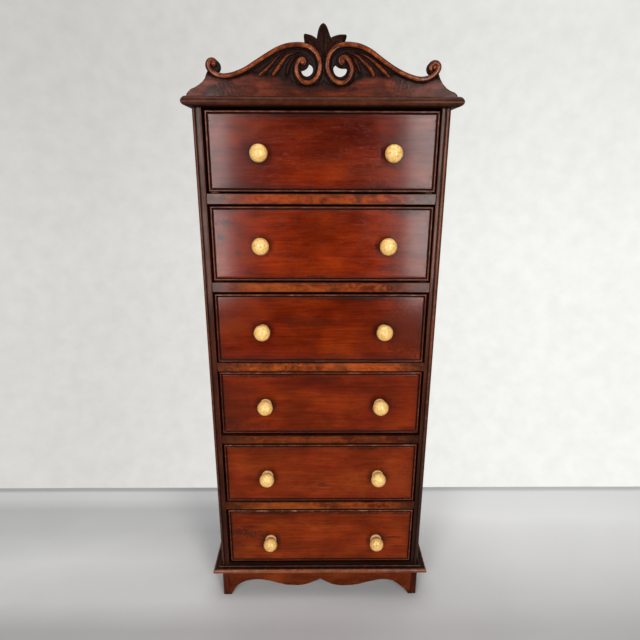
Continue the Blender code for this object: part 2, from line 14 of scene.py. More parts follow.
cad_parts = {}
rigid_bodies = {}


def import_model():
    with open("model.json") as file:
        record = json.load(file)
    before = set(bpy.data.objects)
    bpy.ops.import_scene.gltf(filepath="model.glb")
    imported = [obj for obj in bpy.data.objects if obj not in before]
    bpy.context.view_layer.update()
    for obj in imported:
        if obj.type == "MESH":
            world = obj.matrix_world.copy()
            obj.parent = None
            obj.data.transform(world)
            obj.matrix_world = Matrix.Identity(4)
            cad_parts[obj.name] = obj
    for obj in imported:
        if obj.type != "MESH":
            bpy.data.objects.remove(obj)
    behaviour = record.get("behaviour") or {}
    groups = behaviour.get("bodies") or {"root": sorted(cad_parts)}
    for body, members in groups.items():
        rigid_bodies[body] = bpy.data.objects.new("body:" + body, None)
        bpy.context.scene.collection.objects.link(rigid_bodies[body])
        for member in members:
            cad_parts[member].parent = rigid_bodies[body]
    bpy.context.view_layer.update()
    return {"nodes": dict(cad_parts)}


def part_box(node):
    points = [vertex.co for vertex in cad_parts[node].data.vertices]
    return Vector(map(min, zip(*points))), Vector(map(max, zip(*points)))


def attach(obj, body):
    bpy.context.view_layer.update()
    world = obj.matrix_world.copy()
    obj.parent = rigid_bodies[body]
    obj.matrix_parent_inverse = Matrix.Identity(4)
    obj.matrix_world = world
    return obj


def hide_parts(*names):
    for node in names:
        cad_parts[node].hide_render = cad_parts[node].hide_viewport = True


for startup in list(bpy.data.objects):
    bpy.data.objects.remove(startup, do_unlink=True)
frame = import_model()

CM = 0.01

# The case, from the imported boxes
CASE_LOW, CASE_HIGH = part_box("side_panel_left")
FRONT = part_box("stile_left")[0][1]
REAR = CASE_HIGH[1]
CASE_HALF = -CASE_LOW[0]
RAILS = [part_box(f"divider_{i}") for i in range(1, 6)]
RAIL_MIDDLE = (RAILS[4][0][2] + RAILS[4][1][2]) / 2
RAIL_PITCH = RAILS[3][0][2] - RAILS[4][0][2]
RAIL_HALF = (RAILS[4][1][2] - RAILS[4][0][2]) / 2


# ---------------------------------------------------------------- shapes


def catmull(points, steps):
    """A smooth line through the points, any number of coordinates each."""
    points = [np.array(p, float) for p in points]
    line = []
    last = len(points) - 1
    for i in range(last):
        a, b, c, d = points[max(i - 1, 0)], points[i], points[i + 1], points[min(i + 2, last)]
        for k in range(steps):
            t = k / steps
            curve = (2 * a - 5 * b + 4 * c - d) * t * t + (3 * b - a - 3 * c + d) * t**3
            line.append((2 * b + (c - a) * t + curve) / 2)
    line.append(points[last])
    return np.array(line)


def waver(values, seed, scale):
    """A smooth hand-made unevenness between about -1 and 1 along a length."""
    rng = np.random.default_rng(seed)
    total = np.zeros_like(np.asarray(values, float))
    for octave in range(4):
        rate = 2**octave / scale
        phase = rng.uniform(0, 2 * math.pi, 2)
        waves = np.sin(values * rate * 2.1 + phase[0]) + np.sin(values * rate * 3.7 + phase[1])
        total += waves / (2.4 * 1.6**octave)
    return total / 2


def put_in_scene(name, data):
    made = bpy.data.objects.new(name, data)
    bpy.context.scene.collection.objects.link(made)
    return made


def make_piece(name, points, faces, material, body, replaces=(), marks=None, sharp=50):
    """A smooth-shaded mesh that rides on a body. marks: values at each point that the material reads."""
    mesh = bpy.data.meshes.new(name)
    mesh.from_pydata([tuple(map(float, p)) for p in points], [], [tuple(map(int, f)) for f in faces])
    mesh.validate()
    for key, values in (marks or {}).items():
        layer = mesh.attributes.new(key, "FLOAT", "POINT")
        layer.data.foreach_set("value", np.asarray(values, np.float32))
    mesh.polygons.foreach_set("use_smooth", [True] * len(mesh.polygons))
    mesh.set_sharp_from_angle(angle=math.radians(sharp))
    mesh.materials.append(material)
    mesh.update()
    made = put_in_scene(name, mesh)
    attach(made, body)
    if replaces:
        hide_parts(*replaces)


def strip_faces(rings, count, first_end=True, last_end=True):
    """Quads between rings of count points each, with a flat face over each end."""
    faces = []
    for a in range(0, (rings - 1) * count, count):
        for i in range(count):
            j = (i + 1) % count
            faces.append((a + i, a + j, a + count + j, a + count + i))
    if first_end:
        faces.append(tuple(range(count))[::-1])
    if last_end:
        faces.append(tuple(range((rings - 1) * count, rings * count)))
    return faces


# How far the hand-worked bead of a front wavers, and the insets between which it does
UNEVEN = 0.00012
WORKED = (0.0004, 0.006)
# How deep the dents in a board's rounded edge are
DENT = 0.00016


def framed_board(name, box, profile, splits, material, body, replaces, seed, rubs):
    """A flat front worked all round its edge.

    profile: (inset, depth behind the face, dirt and painted shade, wear), back first.
    rubs: how much of that wear the bottom, right, top and left edges show.
    """
    low, high = box
    counts = (*splits, *splits)
    corners = ((low[0], low[2]), (high[0], low[2]), (high[0], high[2]), (low[0], high[2]))
    inward = ((1, 1), (-1, 1), (-1, -1), (1, -1))
    length = 0.11 * np.concatenate([np.arange(n) / n + side for side, n in enumerate(counts)])
    edge_waver = waver(length, seed, 0.012)
    face_waver = waver(length, seed + 7, 0.020)
    chips = np.clip(0.55 + 0.75 * waver(length, seed + 13, 0.006), 0.1, 1.0)
    points, dirt_and_shade, wear = [], [], []
    for inset, depth, d, w in profile:
        ring = [(x + inset * right, z + inset * up) for (x, z), (right, up) in zip(corners, inward)]
        live = UNEVEN if WORKED[0] < inset < WORKED[1] else 0.0
        i = 0
        for side, count in enumerate(counts):
            (ax, az), (bx, bz) = ring[side], ring[(side + 1) % 4]
            for k in range(count):
                t = k / count
                shift = edge_waver[i] * live * min(1.0, 8 * t, 8 * (1 - t))
                x = ax + (bx - ax) * t + shift * (0, -1, 0, 1)[side]
                y = low[1] + depth + face_waver[i] * live * 0.5
                z = az + (bz - az) * t + shift * (1, 0, -1, 0)[side]
                points.append((x, max(y, low[1]), z))
                dirt_and_shade.append(d)
                wear.append(w * rubs[side] * chips[i])
                i += 1
    faces = strip_faces(len(profile), sum(counts))
    make_piece(name, points, faces, material, body, replaces, {"dirt_and_shade": dirt_and_shade, "wear": wear})


def moulded_board(name, low, high, profile, splits, material, replaces, seed):
    """A board worked along its front and both ends, square behind.

    profile: (inset, height, dirt and painted shade, wear), bottom up.
    """
    nx, ny = splits
    points, dirt_and_shade, wear = [], [], []
    for inset, level, d, w in profile:
        left, right, front, back = low[0] + inset, high[0] - inset, low[1] + inset, high[1]
        corners = ((left, back), (left, front), (right, front), (right, back))
        for side, n in enumerate((ny, nx, ny)):
            (ax, ay), (bx, by) = corners[side], corners[side + 1]
            for k in range(n if side < 2 else n + 1):
                t = k / n
                x, y = ax + (bx - ax) * t, ay + (by - ay) * t
                place = np.array(x if side == 1 else y + side)
                dent = max(float(waver(place, seed, 0.016)) * DENT * min(1.0, 10 * t, 10 * (1 - t)), 0.0)
                points.append((x + dent * (1, 0, -1)[side], y + dent * (0, 1, 0)[side], level))
                dirt_and_shade.append(d)
                wear.append(w if side == 1 or inset < 0.005 else 0.0)
    faces = strip_faces(len(profile), nx + 2 * ny + 1)
    make_piece(name, points, faces, material, "case", replaces, {"dirt_and_shade": dirt_and_shade, "wear": wear})


# ---------------------------------------------------------------- materials


class Nodes:
    """A short way to write the node tree of a material or of the world."""

    def __init__(self, owner, coordinates="Object"):
        owner.use_nodes = True
        self.owner = owner
        self.tree = owner.node_tree
        self.place = self.tree.nodes.new("ShaderNodeTexCoord").outputs[coordinates]

    def put(self, kind, values=(), **settings):
        node = self.tree.nodes.new("ShaderNode" + kind)
        for key, value in settings.items():
            setattr(node, key, value)
        for key, value in dict(values).items():
            self.set(node.inputs[key], value)
        return node

    def set(self, socket, value):
        if isinstance(value, bpy.types.NodeSocket):
            self.tree.links.new(value, socket)
        else:
            socket.default_value = value

    def shade(self, values):
        """Sets the surface shader's inputs and returns the material."""
        shader = self.tree.nodes["Principled BSDF"]
        for key, value in values.items():
            self.set(shader.inputs[key], value)
        return self.owner

    def math(self, operation, a, b=0.0, clamp=False):
        return self.put("Math", {0: a, 1: b}, operation=operation, use_clamp=clamp).outputs[0]

    def times(self, value, *others, clamp=False):
        for other in others:
            value = self.math("MULTIPLY", value, other, clamp)
        return value

    def plus(self, value, *others):
        for other in others:
            value = self.math("ADD", value, other)
        return value

    def minus(self, a, b):
        return self.math("SUBTRACT", a, b)

    def most(self, value, *others):
        for other in others:
            value = self.math("MAXIMUM", value, other)
        return value

    def centred(self, noise, size):
        """Noise moved to lie about 0, and scaled."""
        return self.times(self.minus(noise, 0.5), size)

    def weighed(self, *pairs):
        """The sum of values, each times its weight."""
        return self.plus(*(self.times(value, weight) for value, weight in pairs))

    def stretch(self, scale, shift=(0, 0, 0), source=None):
        values = {"Vector": source or self.place, "Scale": scale, "Location": shift}
        return self.put("Mapping", values).outputs[0]

    def noise(self, scale, detail=4.0, rough=0.55, distort=0.0, shift=(0, 0, 0), source=None):
        """scale: one number, or one for each axis."""
        scale = scale if isinstance(scale, tuple) else (scale, scale, scale)
        values = {"Vector": self.stretch(scale, shift, source), "Scale": 1.0, "Detail": detail,
                  "Roughness": rough, "Distortion": distort}
        return self.put("TexNoise", values).outputs["Fac"]

    def ramp(self, value, *stops):
        """stops: (where, colour or grey level)."""
        node = self.put("ValToRGB", {"Fac": value})
        ramp = node.color_ramp
        while len(ramp.elements) < len(stops):
            ramp.elements.new(0.5)
        for element, (where, colour) in zip(ramp.elements, stops):
            element.position = where
            element.color = (*colour, 1.0) if isinstance(colour, tuple) else (colour, colour, colour, 1.0)
        return node.outputs["Color"]

    def span(self, value, low, high, to_low=0.0, to_high=1.0):
        """The range from low to high mapped to another, and held at its ends."""
        values = {"Value": value, "From Min": low, "From Max": high, "To Min": to_low, "To Max": to_high}
        return self.put("MapRange", values, clamp=True).outputs["Result"]

    def mix(self, share, a, b, blend="MIX"):
        a, b = ((*value, 1.0) if isinstance(value, tuple) else value for value in (a, b))
        values = {"Factor": share, 6: a, 7: b}
        return self.put("Mix", values, data_type="RGBA", blend_type=blend).outputs[2]

    def grey(self, level):
        return self.put("CombineColor", {"Red": level, "Green": level, "Blue": level}).outputs[0]

    def axes(self):
        return self.put("SeparateXYZ", {"Vector": self.place}).outputs

    def mark(self, name):
        return self.put("Attribute", attribute_name=name).outputs["Fac"]

    def bump(self, height, strength, distance, under=None):
        values = {"Height": height, "Strength": strength, "Distance": distance}
        if under is not None:
            values["Normal"] = under
        return self.put("Bump", values).outputs[0]

    def spot(self, x, z, wide, tall, rag):
        """1 at a place on a front, falling to 0 over its ragged outline."""
        across = self.axes()
        dx = self.math("DIVIDE", self.minus(across["X"], x), wide)
        dz = self.math("DIVIDE", self.minus(across["Z"], z), tall)
        ragged = self.noise((260, 260, 420), 4.0, 0.6, shift=(x * 90, 0.3, z * 70))
        far = self.plus(self.times(dx, dx), self.times(dz, dz), self.centred(ragged, rag * 4))
        return self.span(far, 1.1, 0.2)


def along_grain(axis, scale, ratio):
    """Noise scale with the grain running along one axis."""
    across = scale * ratio
    return tuple(scale if letter == axis else across for letter in "XYZ")


PORE = (0.014, 0.005, 0.003)
SUNK_POLISH = (0.014, 0.006, 0.004)
# Near black: packed soil, and painted shade where a recess, gap or underside lies in shade
PACKED_SOIL_AND_SHADE = (0.0080, 0.0035, 0.0025)
RUBBED_WOOD = (0.240, 0.086, 0.042)
BARE_WOOD = (0.560, 0.360, 0.250)
POLISH_IOR = 1.45
POLISH_ROUGHNESS = 0.11


def polished_wood(name, base, axis, seed, contrast, figure=0.0, *, gloss, shine, dirt_and_shade=1.0, wear=1.0,
                  masks=None, spots=(), dulling=0.75, fade=None, sunk=None, mottle=0.12, chips=0.25):
    """French-polished mahogany with pores, near-black soil and painted shade in the recesses, gaps and
    undersides, and worn arrises.

    masks: what makes the soil and painted shade of a piece that has no dirt_and_shade and wear attributes.
    spots: (x, height, half width, half height, raggedness, strength, colour).
    fade: (low, high, share of the coat left below low). sunk: (full below, none above, strength).
    """
    n = Nodes(bpy.data.materials.new(name))
    shift = (seed * 1.7, seed * 3.1, seed * 2.3)
    warp = n.centred(n.noise(along_grain(axis, 9, 3.0), 3.0, 0.5, shift=shift), 0.010)
    turn = n.put("CombineXYZ", {letter: warp for letter in "XYZ" if letter != axis}).outputs[0]
    bent = n.put("VectorMath", {0: n.place, 1: turn}, operation="ADD").outputs[0]
    streaks = n.noise(along_grain(axis, 22, 17.0), 6.0, 0.62, shift=shift, source=bent)
    bands = n.noise(along_grain(axis, 5, 14.0), 3.0, 0.5, shift=shift, source=bent)
    clouds = n.noise(along_grain(axis, 14, 1.8), 4.0, 0.55, 0.4, shift=shift)
    grain = n.weighed((streaks, 0.34), (bands, 0.22), (clouds, 0.44))
    dark = tuple(c * (1 - 0.62 * contrast) * f for c, f in zip(base, (1.0, 0.80, 0.8)))
    light = tuple(c * (1 + 0.65 * contrast) * f for c, f in zip(base, (1.0, 1.35, 1.2)))
    colour = n.ramp(grain, (0.39, dark), (0.50, base), (0.61, light))
    patches = n.noise(along_grain(axis, 20, 1.5), 3.0, 0.55, shift=(seed + 5, seed, seed))
    colour = n.mix(1.0, colour, n.grey(n.span(patches, 0.36, 0.66, 0.72, 1.20)), "MULTIPLY")
    if figure:
        blotch = n.noise(along_grain(axis, 95, 1.5), 6.0, 0.66, 1.2, shift=(seed, seed + 2, seed + 4))
        orange = n.times(n.span(blotch, 0.47, 0.58), figure)
        colour = n.mix(orange, colour, (base[0] * 1.6, base[1] * 2.1, base[2] * 1.8))
        black = n.noise(along_grain(axis, 30, 1.2), 4.0, 0.6, 0.8, shift=(seed + 9, 1, seed))
        colour = n.mix(n.times(n.span(black, 0.50, 0.64), figure * 0.8), colour, DARK_SPOT)
    pores = n.span(n.noise(along_grain(axis, 90, 16.0), 2.0, 0.5, shift=shift, source=bent), 0.60, 0.72)
    colour = n.mix(n.times(pores, 0.45), colour, PORE)
    for *place, strength, tone in spots:
        colour = n.mix(n.times(n.spot(*place), strength), colour, tone)
    if sunk:
        low = n.span(n.axes()["Z"], *sunk, 0.0)
        colour = n.mix(low, colour, SUNK_POLISH)
    grime = n.span(n.noise(190, 4.0, 0.6, shift=(seed + 3, 2, 1)), 0.25, 0.62, 0.72, 1.08)
    soil_and_shade = masks(n) if masks else n.mark("dirt_and_shade")
    held = n.times(soil_and_shade, grime, dirt_and_shade, clamp=True)
    # Packed soil and painted shade: near black where the dirt_and_shade mark or the mask is high
    colour = n.mix(held, colour, PACKED_SOIL_AND_SHADE)
    rough = n.plus(gloss, n.centred(clouds, 0.14), n.times(held, 0.16))
    coat = n.times(
        n.minus(1.0, n.times(held, dulling)),
        n.span(streaks, 0.36, 0.64, 0.86, 1.12),
        n.span(patches, 0.36, 0.66, 1.0 - mottle, 1.0 + mottle * 0.7),
        n.minus(1.0, n.times(pores, 0.35)),
    )
    if fade:
        coat = n.times(coat, n.span(n.axes()["Z"], *fade, 1.0))
    if not masks:
        rubbed = n.span(n.noise(150, 5.0, 0.65, shift=(seed + 8, 4, 6)), 0.38, 0.62, 0.30, 1.0)
        share = n.times(n.mark("wear"), rubbed, wear, clamp=True)
        if sunk:
            share = n.times(share, n.minus(1.0, low))
        colour = n.mix(share, colour, RUBBED_WOOD)
        bare = n.span(n.noise(along_grain(axis, 170, 3.0), 4.0, 0.6, shift=(seed + 2, 6, 9)), 0.53, 0.60)
        colour = n.mix(n.times(bare, share, chips), colour, BARE_WOOD)
        rough = n.plus(rough, n.times(share, 0.06))
    fine = n.bump(streaks, 0.26, 0.0004)
    fine = n.bump(n.noise(420, 3.0, 0.6, shift=(seed, 1, 2)), 0.10, 0.0003, fine)
    fine = n.bump(pores, 0.25, -0.0002, fine)
    ripple = n.noise(along_grain(axis, 22, 2.0), 2.0, 0.5, shift=(seed, 7, 3))
    return n.shade({
        "Base Color": colour,
        "Roughness": n.span(rough, 0.0, 1.0),
        "IOR": POLISH_IOR,
        "Specular IOR Level": shine * 0.34,
        "Coat Weight": n.times(coat, shine * 0.90),
        "Coat Roughness": POLISH_ROUGHNESS,
        "Coat IOR": POLISH_IOR,
        "Normal": n.bump(ripple, 0.07, 0.0012, fine),
    })


def plain_wood(name, base, axis, seed, age=0.35):
    """Unpolished secondary wood: planed pine with growth rings, a few knots and handling dirt."""
    n = Nodes(bpy.data.materials.new(name))
    shift = (seed * 2.1, seed * 1.3, seed * 2.9)
    warp = n.noise(along_grain(axis, 6, 2.4), 3.0, 0.5, shift=shift)
    rings = n.put(
        "TexWave",
        {"Vector": n.stretch(along_grain(axis, 0.9, 13.0), shift), "Scale": 1.0, "Distortion": 11.0,
         "Detail": 4.0, "Detail Scale": 0.8, "Detail Roughness": 0.6},
        wave_type="BANDS",
        bands_direction="DIAGONAL",
    ).outputs["Fac"]
    fibres = n.noise(along_grain(axis, 30, 22.0), 6.0, 0.65, shift=shift)
    colour = n.ramp(
        n.weighed((rings, 0.14), (fibres, 0.56), (warp, 0.30)),
        (0.30, tuple(c * 0.62 for c in base)),
        (0.50, base),
        (0.72, tuple(min(1.0, c * 1.28) for c in base)),
    )
    stain = n.times(n.span(n.noise(11, 5.0, 0.6, shift=(seed, 3, 5)), 0.45, 0.72), age)
    colour = n.mix(stain, colour, (base[0] * 0.36, base[1] * 0.30, base[2] * 0.28))
    cells = n.put("TexVoronoi", {"Vector": n.stretch(along_grain(axis, 9, 1.7), shift), "Scale": 1.0})
    knot = n.times(n.span(cells.outputs["Distance"], 0.10, 0.035), 0.8)
    return n.shade({
        "Base Color": n.mix(knot, colour, (0.070, 0.030, 0.014)),
        "Roughness": n.span(fibres, 0.3, 0.7, 0.62, 0.82),
        "IOR": 1.40,
        "Normal": n.bump(fibres, 0.35, 0.0004),
    })


def knob_wood(name, seed, tone):
    """Pale close-grained turned wood, mellowed and rubbed, painted dark in the turned neck, as shade and
    grime.
    """
    n = Nodes(bpy.data.materials.new(name))
    shift = (seed * 1.1, seed * 2.7, seed * 0.7)
    mottle = n.noise(330, 5.0, 0.62, 0.5, shift=shift)
    grain = n.noise((130, 700, 700), 5.0, 0.6, shift=shift)
    value = n.weighed((mottle, 0.55), (grain, 0.45))
    colour = n.ramp(value, *(
        (where, (red * tone, green * tone**1.3, blue * tone**1.3))
        for where, red, green, blue in ((0.38, 0.620, 0.300, 0.068), (0.49, 0.780, 0.480, 0.145),
                                        (0.60, 0.890, 0.630, 0.240))
    ))
    rust = n.times(n.span(n.noise(95, 3.0, 0.5, shift=(seed, 1, 2)), 0.52, 0.70), 0.28)
    colour = n.mix(rust, colour, (0.760, 0.400, 0.085))
    collar = n.span(n.axes()["Y"], FRONT - 0.0080, FRONT - 0.0050, 0.0, 0.60)
    colour = n.mix(collar, colour, (0.780, 0.440, 0.220))
    soil_and_shade = n.times(n.mark("dirt_and_shade"), n.span(mottle, 0.2, 0.7, 0.75, 1.0), clamp=True)
    return n.shade({
        "Base Color": n.mix(soil_and_shade, colour, (0.150, 0.070, 0.028)),
        "Roughness": n.span(mottle, 0.3, 0.7, 0.34, 0.46),
        "IOR": 1.45,
        "Specular IOR Level": 0.40,
        "Coat Weight": 0.45,
        "Coat Roughness": 0.14,
        "Normal": n.bump(value, 0.12, 0.0003),
    })


def carved_wood(name):
    """Carved mahogany: near black in the ground and hollows, as black polish and painted shade, rubbed
    red-brown on what stands proud.
    """
    n = Nodes(bpy.data.materials.new(name))
    streaks = n.noise(along_grain("X", 34, 9.0), 6.0, 0.62)
    clouds = n.noise(along_grain("X", 34, 2.2), 4.0, 0.58, 0.6)
    colour = n.ramp(n.weighed((streaks, 0.32), (clouds, 0.68)), (0.40, (0.030, 0.0080, 0.0052)),
                    (0.50, (0.080, 0.0150, 0.0075)), (0.61, (0.150, 0.0290, 0.0120)))
    dark = n.span(n.noise(along_grain("X", 26, 2.2), 4.0, 0.6, 0.4, shift=(3, 1, 2)), 0.46, 0.62)
    colour = n.mix(n.times(dark, 0.55), colour, (0.022, 0.010, 0.008))
    chips = n.noise(150, 5.0, 0.65, shift=(8, 4, 6))
    rubbed = n.times(n.mark("wear"), n.span(chips, 0.34, 0.54, 0.55, 1.0), clamp=True)
    worn = n.ramp(n.noise(along_grain("X", 120, 1.4), 4.0, 0.6), (0.38, (0.082, 0.0135, 0.0022)),
                  (0.52, (0.170, 0.0310, 0.0055)), (0.66, (0.300, 0.0760, 0.0160)))
    grime = n.noise(260, 4.0, 0.6)
    held = n.times(n.mark("dirt_and_shade"), n.span(grime, 0.25, 0.60, 0.80, 1.06), clamp=True)
    # Black polish and painted shade: near black where the dirt_and_shade mark is high
    colour = n.mix(held, n.mix(rubbed, colour, worn), (0.0085, 0.0045, 0.0038))
    glaze = n.span(n.noise(along_grain("X", 70, 1.3), 3.0, 0.6, shift=(5, 2, 7)), 0.40, 0.62, 0.45, 1.25)
    bright = n.times(n.plus(0.20, n.times(rubbed, 0.80)), glaze, n.minus(1.0, n.times(held, 0.95)))
    tool = n.noise(120, 2.0, 0.5)
    return n.shade({
        "Base Color": colour,
        "Roughness": n.plus(0.24, n.times(held, 0.18)),
        "IOR": POLISH_IOR,
        "Specular IOR Level": 0.06,
        "Coat Weight": n.times(bright, 0.40),
        "Coat Roughness": POLISH_ROUGHNESS,
        "Coat IOR": POLISH_IOR,
        "Normal": n.bump(tool, 0.20, 0.0010, n.bump(streaks, 0.15, 0.0004)),
    })


def nail_metal(name):
    """Dark rusted iron."""
    n = Nodes(bpy.data.materials.new(name))
    rust = n.noise(900, 4.0, 0.6)
    return n.shade({
        "Base Color": n.ramp(rust, (0.35, (0.006, 0.004, 0.004)), (0.65, (0.035, 0.020, 0.014))),
        "Roughness": n.span(rust, 0.3, 0.7, 0.45, 0.75),
        "Metallic": 0.5,
        "Normal": n.bump(rust, 0.4, 0.0002),
    })


# Painted light and shade on the floor, as grey levels from the chest's front to the far edge, on the left and
# on the right: a painted shadow band near the chest on the left and a painted dark crease along the far edge
FLOOR_SHADE_LEFT = ((0.06, 0.45), (0.20, 0.62), (0.43, 0.62), (0.64, 0.48), (0.80, 0.43), (0.90, 0.56),
              (0.955, 0.58), (0.975, 0.38), (1.00, 0.36))
FLOOR_SHADE_RIGHT = ((0.06, 0.41), (0.20, 0.48), (0.43, 0.54), (0.64, 0.56), (0.80, 0.61), (0.90, 0.63),
               (0.955, 0.56), (0.975, 0.40), (1.00, 0.37))
FLOOR_BACK = 0.1775


def floor_paper_painted_light(name):
    """A pale plain sheet with painted light and shade: lighter towards the back and the right, painted shadow
    and light bands by the chest, a painted dark crease along the far edge and a painted contact shadow round
    the chest's base.
    """
    n = Nodes(bpy.data.materials.new(name))
    broad = n.noise((2.2, 3.0, 1.0), 4.0, 0.55, 0.6)
    tooth = n.noise(420, 3.0, 0.6)
    across = n.axes()
    # Painted light: the sheet is lighter towards the back and towards the right
    near = n.span(across["Y"], -0.36, 0.10)
    right = n.span(across["X"], -0.32, 0.32)
    level = n.plus(n.times(near, 0.36), n.times(right, near, 0.16), 0.33, n.centred(broad, 0.20))
    level = n.times(level, n.span(across["Y"], -0.80, -0.36, 0.85, 1.0))
    depth = n.span(across["Y"], -0.160, FLOOR_BACK)
    painted_bands = n.mix(n.span(across["X"], -0.17, 0.10), n.ramp(depth, *FLOOR_SHADE_LEFT), n.ramp(depth, *FLOOR_SHADE_RIGHT))
    level = n.math("MINIMUM", n.times(level, n.times(painted_bands, 1.76)), 0.85)
    side = n.most(n.minus(n.math("ABSOLUTE", across["X"]), CASE_HALF), 0.0)
    ahead = n.most(n.minus(FRONT, across["Y"]), 0.0)
    away = n.math("SQRT", n.plus(n.times(side, side), n.times(ahead, ahead)))
    # Painted contact shadow within a few centimetres round the chest's base
    level = n.times(level, n.span(away, 0.0, 0.035, 0.86, 1.0))
    warm = n.mix(near, (1.00, 0.955, 0.950), (1.0, 0.995, 0.985))
    return n.shade({
        "Base Color": n.mix(1.0, n.grey(level), warm, "MULTIPLY"),
        "Roughness": n.span(tooth, 0.3, 0.7, 0.60, 0.75),
        "Normal": n.bump(broad, 0.25, 0.010, n.bump(tooth, 0.08, 0.0002)),
    })


def rail_soil_and_shade(n):
    """Darker along a rail's two long edges and at its ends, and painted shade on its faces behind the front,
    inside the case.
    """
    across = n.axes()
    steps = n.math("DIVIDE", n.minus(across["Z"], RAIL_MIDDLE), RAIL_PITCH)
    away = n.times(n.math("ABSOLUTE", n.minus(steps, n.math("ROUND", steps))), RAIL_PITCH)
    edge = n.span(away, RAIL_HALF - 0.0014, RAIL_HALF - 0.0001, 0.0, 0.85)
    ends = n.plus(n.math("ABSOLUTE", across["X"]), n.centred(n.noise(60, 3.0, 0.6), 0.05))
    end = n.span(ends, 0.080, 0.122, 0.0, 0.80)
    # Painted shade on the rail's faces behind the front
    behind = n.span(across["Y"], FRONT + 0.003, FRONT + 0.020, 0.0, 0.7)
    return n.most(edge, end, behind)


def side_soil(n):
    """Dark polish along a case side's edges."""
    across = n.axes()
    low = n.span(across["Z"], CASE_LOW[2] + 0.022, CASE_LOW[2] + 0.001, 0.0, 0.80)
    top = n.span(across["Z"], CASE_HIGH[2] - 0.014, CASE_HIGH[2] - 0.001, 0.0, 0.80)
    near = n.span(across["Y"], FRONT + 0.012, FRONT + 0.005, 0.0, 0.45)
    back = n.span(across["Y"], REAR - 0.010, REAR - 0.001, 0.0, 0.45)
    return n.most(low, top, near, back)


def apron_painted_shade(n):
    """Painted shade under the base board's overhang and at the feet's tips by the floor."""
    across = n.axes()
    # Painted shade under the overhang of the base board
    top = n.span(across["Z"], 0.0415, 0.0460, 0.0, 0.55)
    foot = n.span(across["Z"], 0.0080, 0.0005, 0.0, 0.55)
    return n.most(top, foot)


# ---------------------------------------------------------------- the case

# Base colour, contrast of the grain, seed and shine, top drawer first
FRONT_LOOKS = (
    ((0.111, 0.0082, 0.0006), 0.72, 11.0, 0.43),
    ((0.160, 0.0128, 0.0007), 0.70, 23.0, 0.42),
    ((0.139, 0.0116, 0.0010), 0.66, 37.0, 0.34),
    ((0.132, 0.0122, 0.0012), 0.56, 41.0, 0.20),
    ((0.149, 0.0168, 0.0030), 0.44, 59.0, 0.16),
    ((0.158, 0.0188, 0.0026), 0.46, 67.0, 0.15),
)
DARK_SPOT = (0.020, 0.007, 0.004)
RED_SPOT = (0.055, 0.012, 0.008)
DEEP_TONE = (0.060, 0.0080, 0.0025)
LIGHT_TONE = (0.230, 0.0360, 0.0080)
# On each front: (x, height, half width, half height, raggedness, strength, colour), top drawer first
FRONT_SPOTS = (
    (
        (0.0909, 0.6570, 0.0006, 0.0060, 0.3, 0.8, DARK_SPOT),
        (0.0850, 0.6373, 0.0005, 0.0035, 0.3, 0.8, DARK_SPOT),
        (0.0800, 0.6350, 0.0120, 0.0080, 1.0, 0.45, DARK_SPOT),
    ),
    (
        (-0.1180, 0.5100, 0.0400, 0.0480, 0.9, 0.34, DEEP_TONE),
        (-0.1180, 0.5290, 0.0050, 0.0042, 1.0, 0.85, DARK_SPOT),
        (-0.1120, 0.5450, 0.0090, 0.0060, 1.2, 0.50, DARK_SPOT),
        (-0.0990, 0.5100, 0.0050, 0.0040, 0.8, 0.45, DARK_SPOT),
        (-0.0030, 0.4820, 0.0140, 0.0030, 0.9, 0.60, DARK_SPOT),
        (0.1040, 0.5262, 0.0050, 0.0030, 0.8, 0.45, DARK_SPOT),
        (0.1150, 0.5200, 0.0380, 0.0450, 0.8, 0.52, DEEP_TONE),
        (0.0850, 0.4920, 0.0200, 0.0060, 1.2, 0.40, DARK_SPOT),
    ),
    (
        (0.1120, 0.4180, 0.0420, 0.0500, 0.8, 0.80, DEEP_TONE),
        (-0.0100, 0.4250, 0.0350, 0.0090, 1.2, 0.30, DARK_SPOT),
    ),
    (
        (-0.1100, 0.3100, 0.0350, 0.0420, 0.9, 0.42, DEEP_TONE),
        (-0.1180, 0.2850, 0.0160, 0.0100, 1.2, 0.50, DARK_SPOT),
        (-0.0850, 0.2800, 0.0180, 0.0060, 1.0, 0.35, DARK_SPOT),
        (0.0100, 0.3480, 0.0300, 0.0030, 1.0, 0.45, DARK_SPOT),
    ),
    (
        (0.0036, 0.1888, 0.0090, 0.0045, 0.8, 0.60, RED_SPOT),
        (0.1050, 0.1950, 0.0420, 0.0400, 0.9, 0.35, LIGHT_TONE),
    ),
    (
        (-0.1130, 0.1090, 0.0200, 0.0080, 1.4, 0.62, DARK_SPOT),
        (-0.0900, 0.1070, 0.0260, 0.0070, 1.2, 0.50, DARK_SPOT),
        (-0.1150, 0.0900, 0.0140, 0.0060, 1.2, 0.40, RED_SPOT),
        (-0.1020, 0.1200, 0.0120, 0.0030, 1.0, 0.45, DARK_SPOT),
        (-0.0840, 0.0860, 0.0100, 0.0015, 0.8, 0.70, DARK_SPOT),
        (0.1060, 0.1010, 0.0180, 0.0013, 0.9, 0.75, DARK_SPOT),
        (0.1150, 0.0860, 0.0120, 0.0011, 0.9, 0.50, DARK_SPOT),
        (-0.0407, 0.1056, 0.0012, 0.0010, 0.2, 0.80, DARK_SPOT),
    ),
)

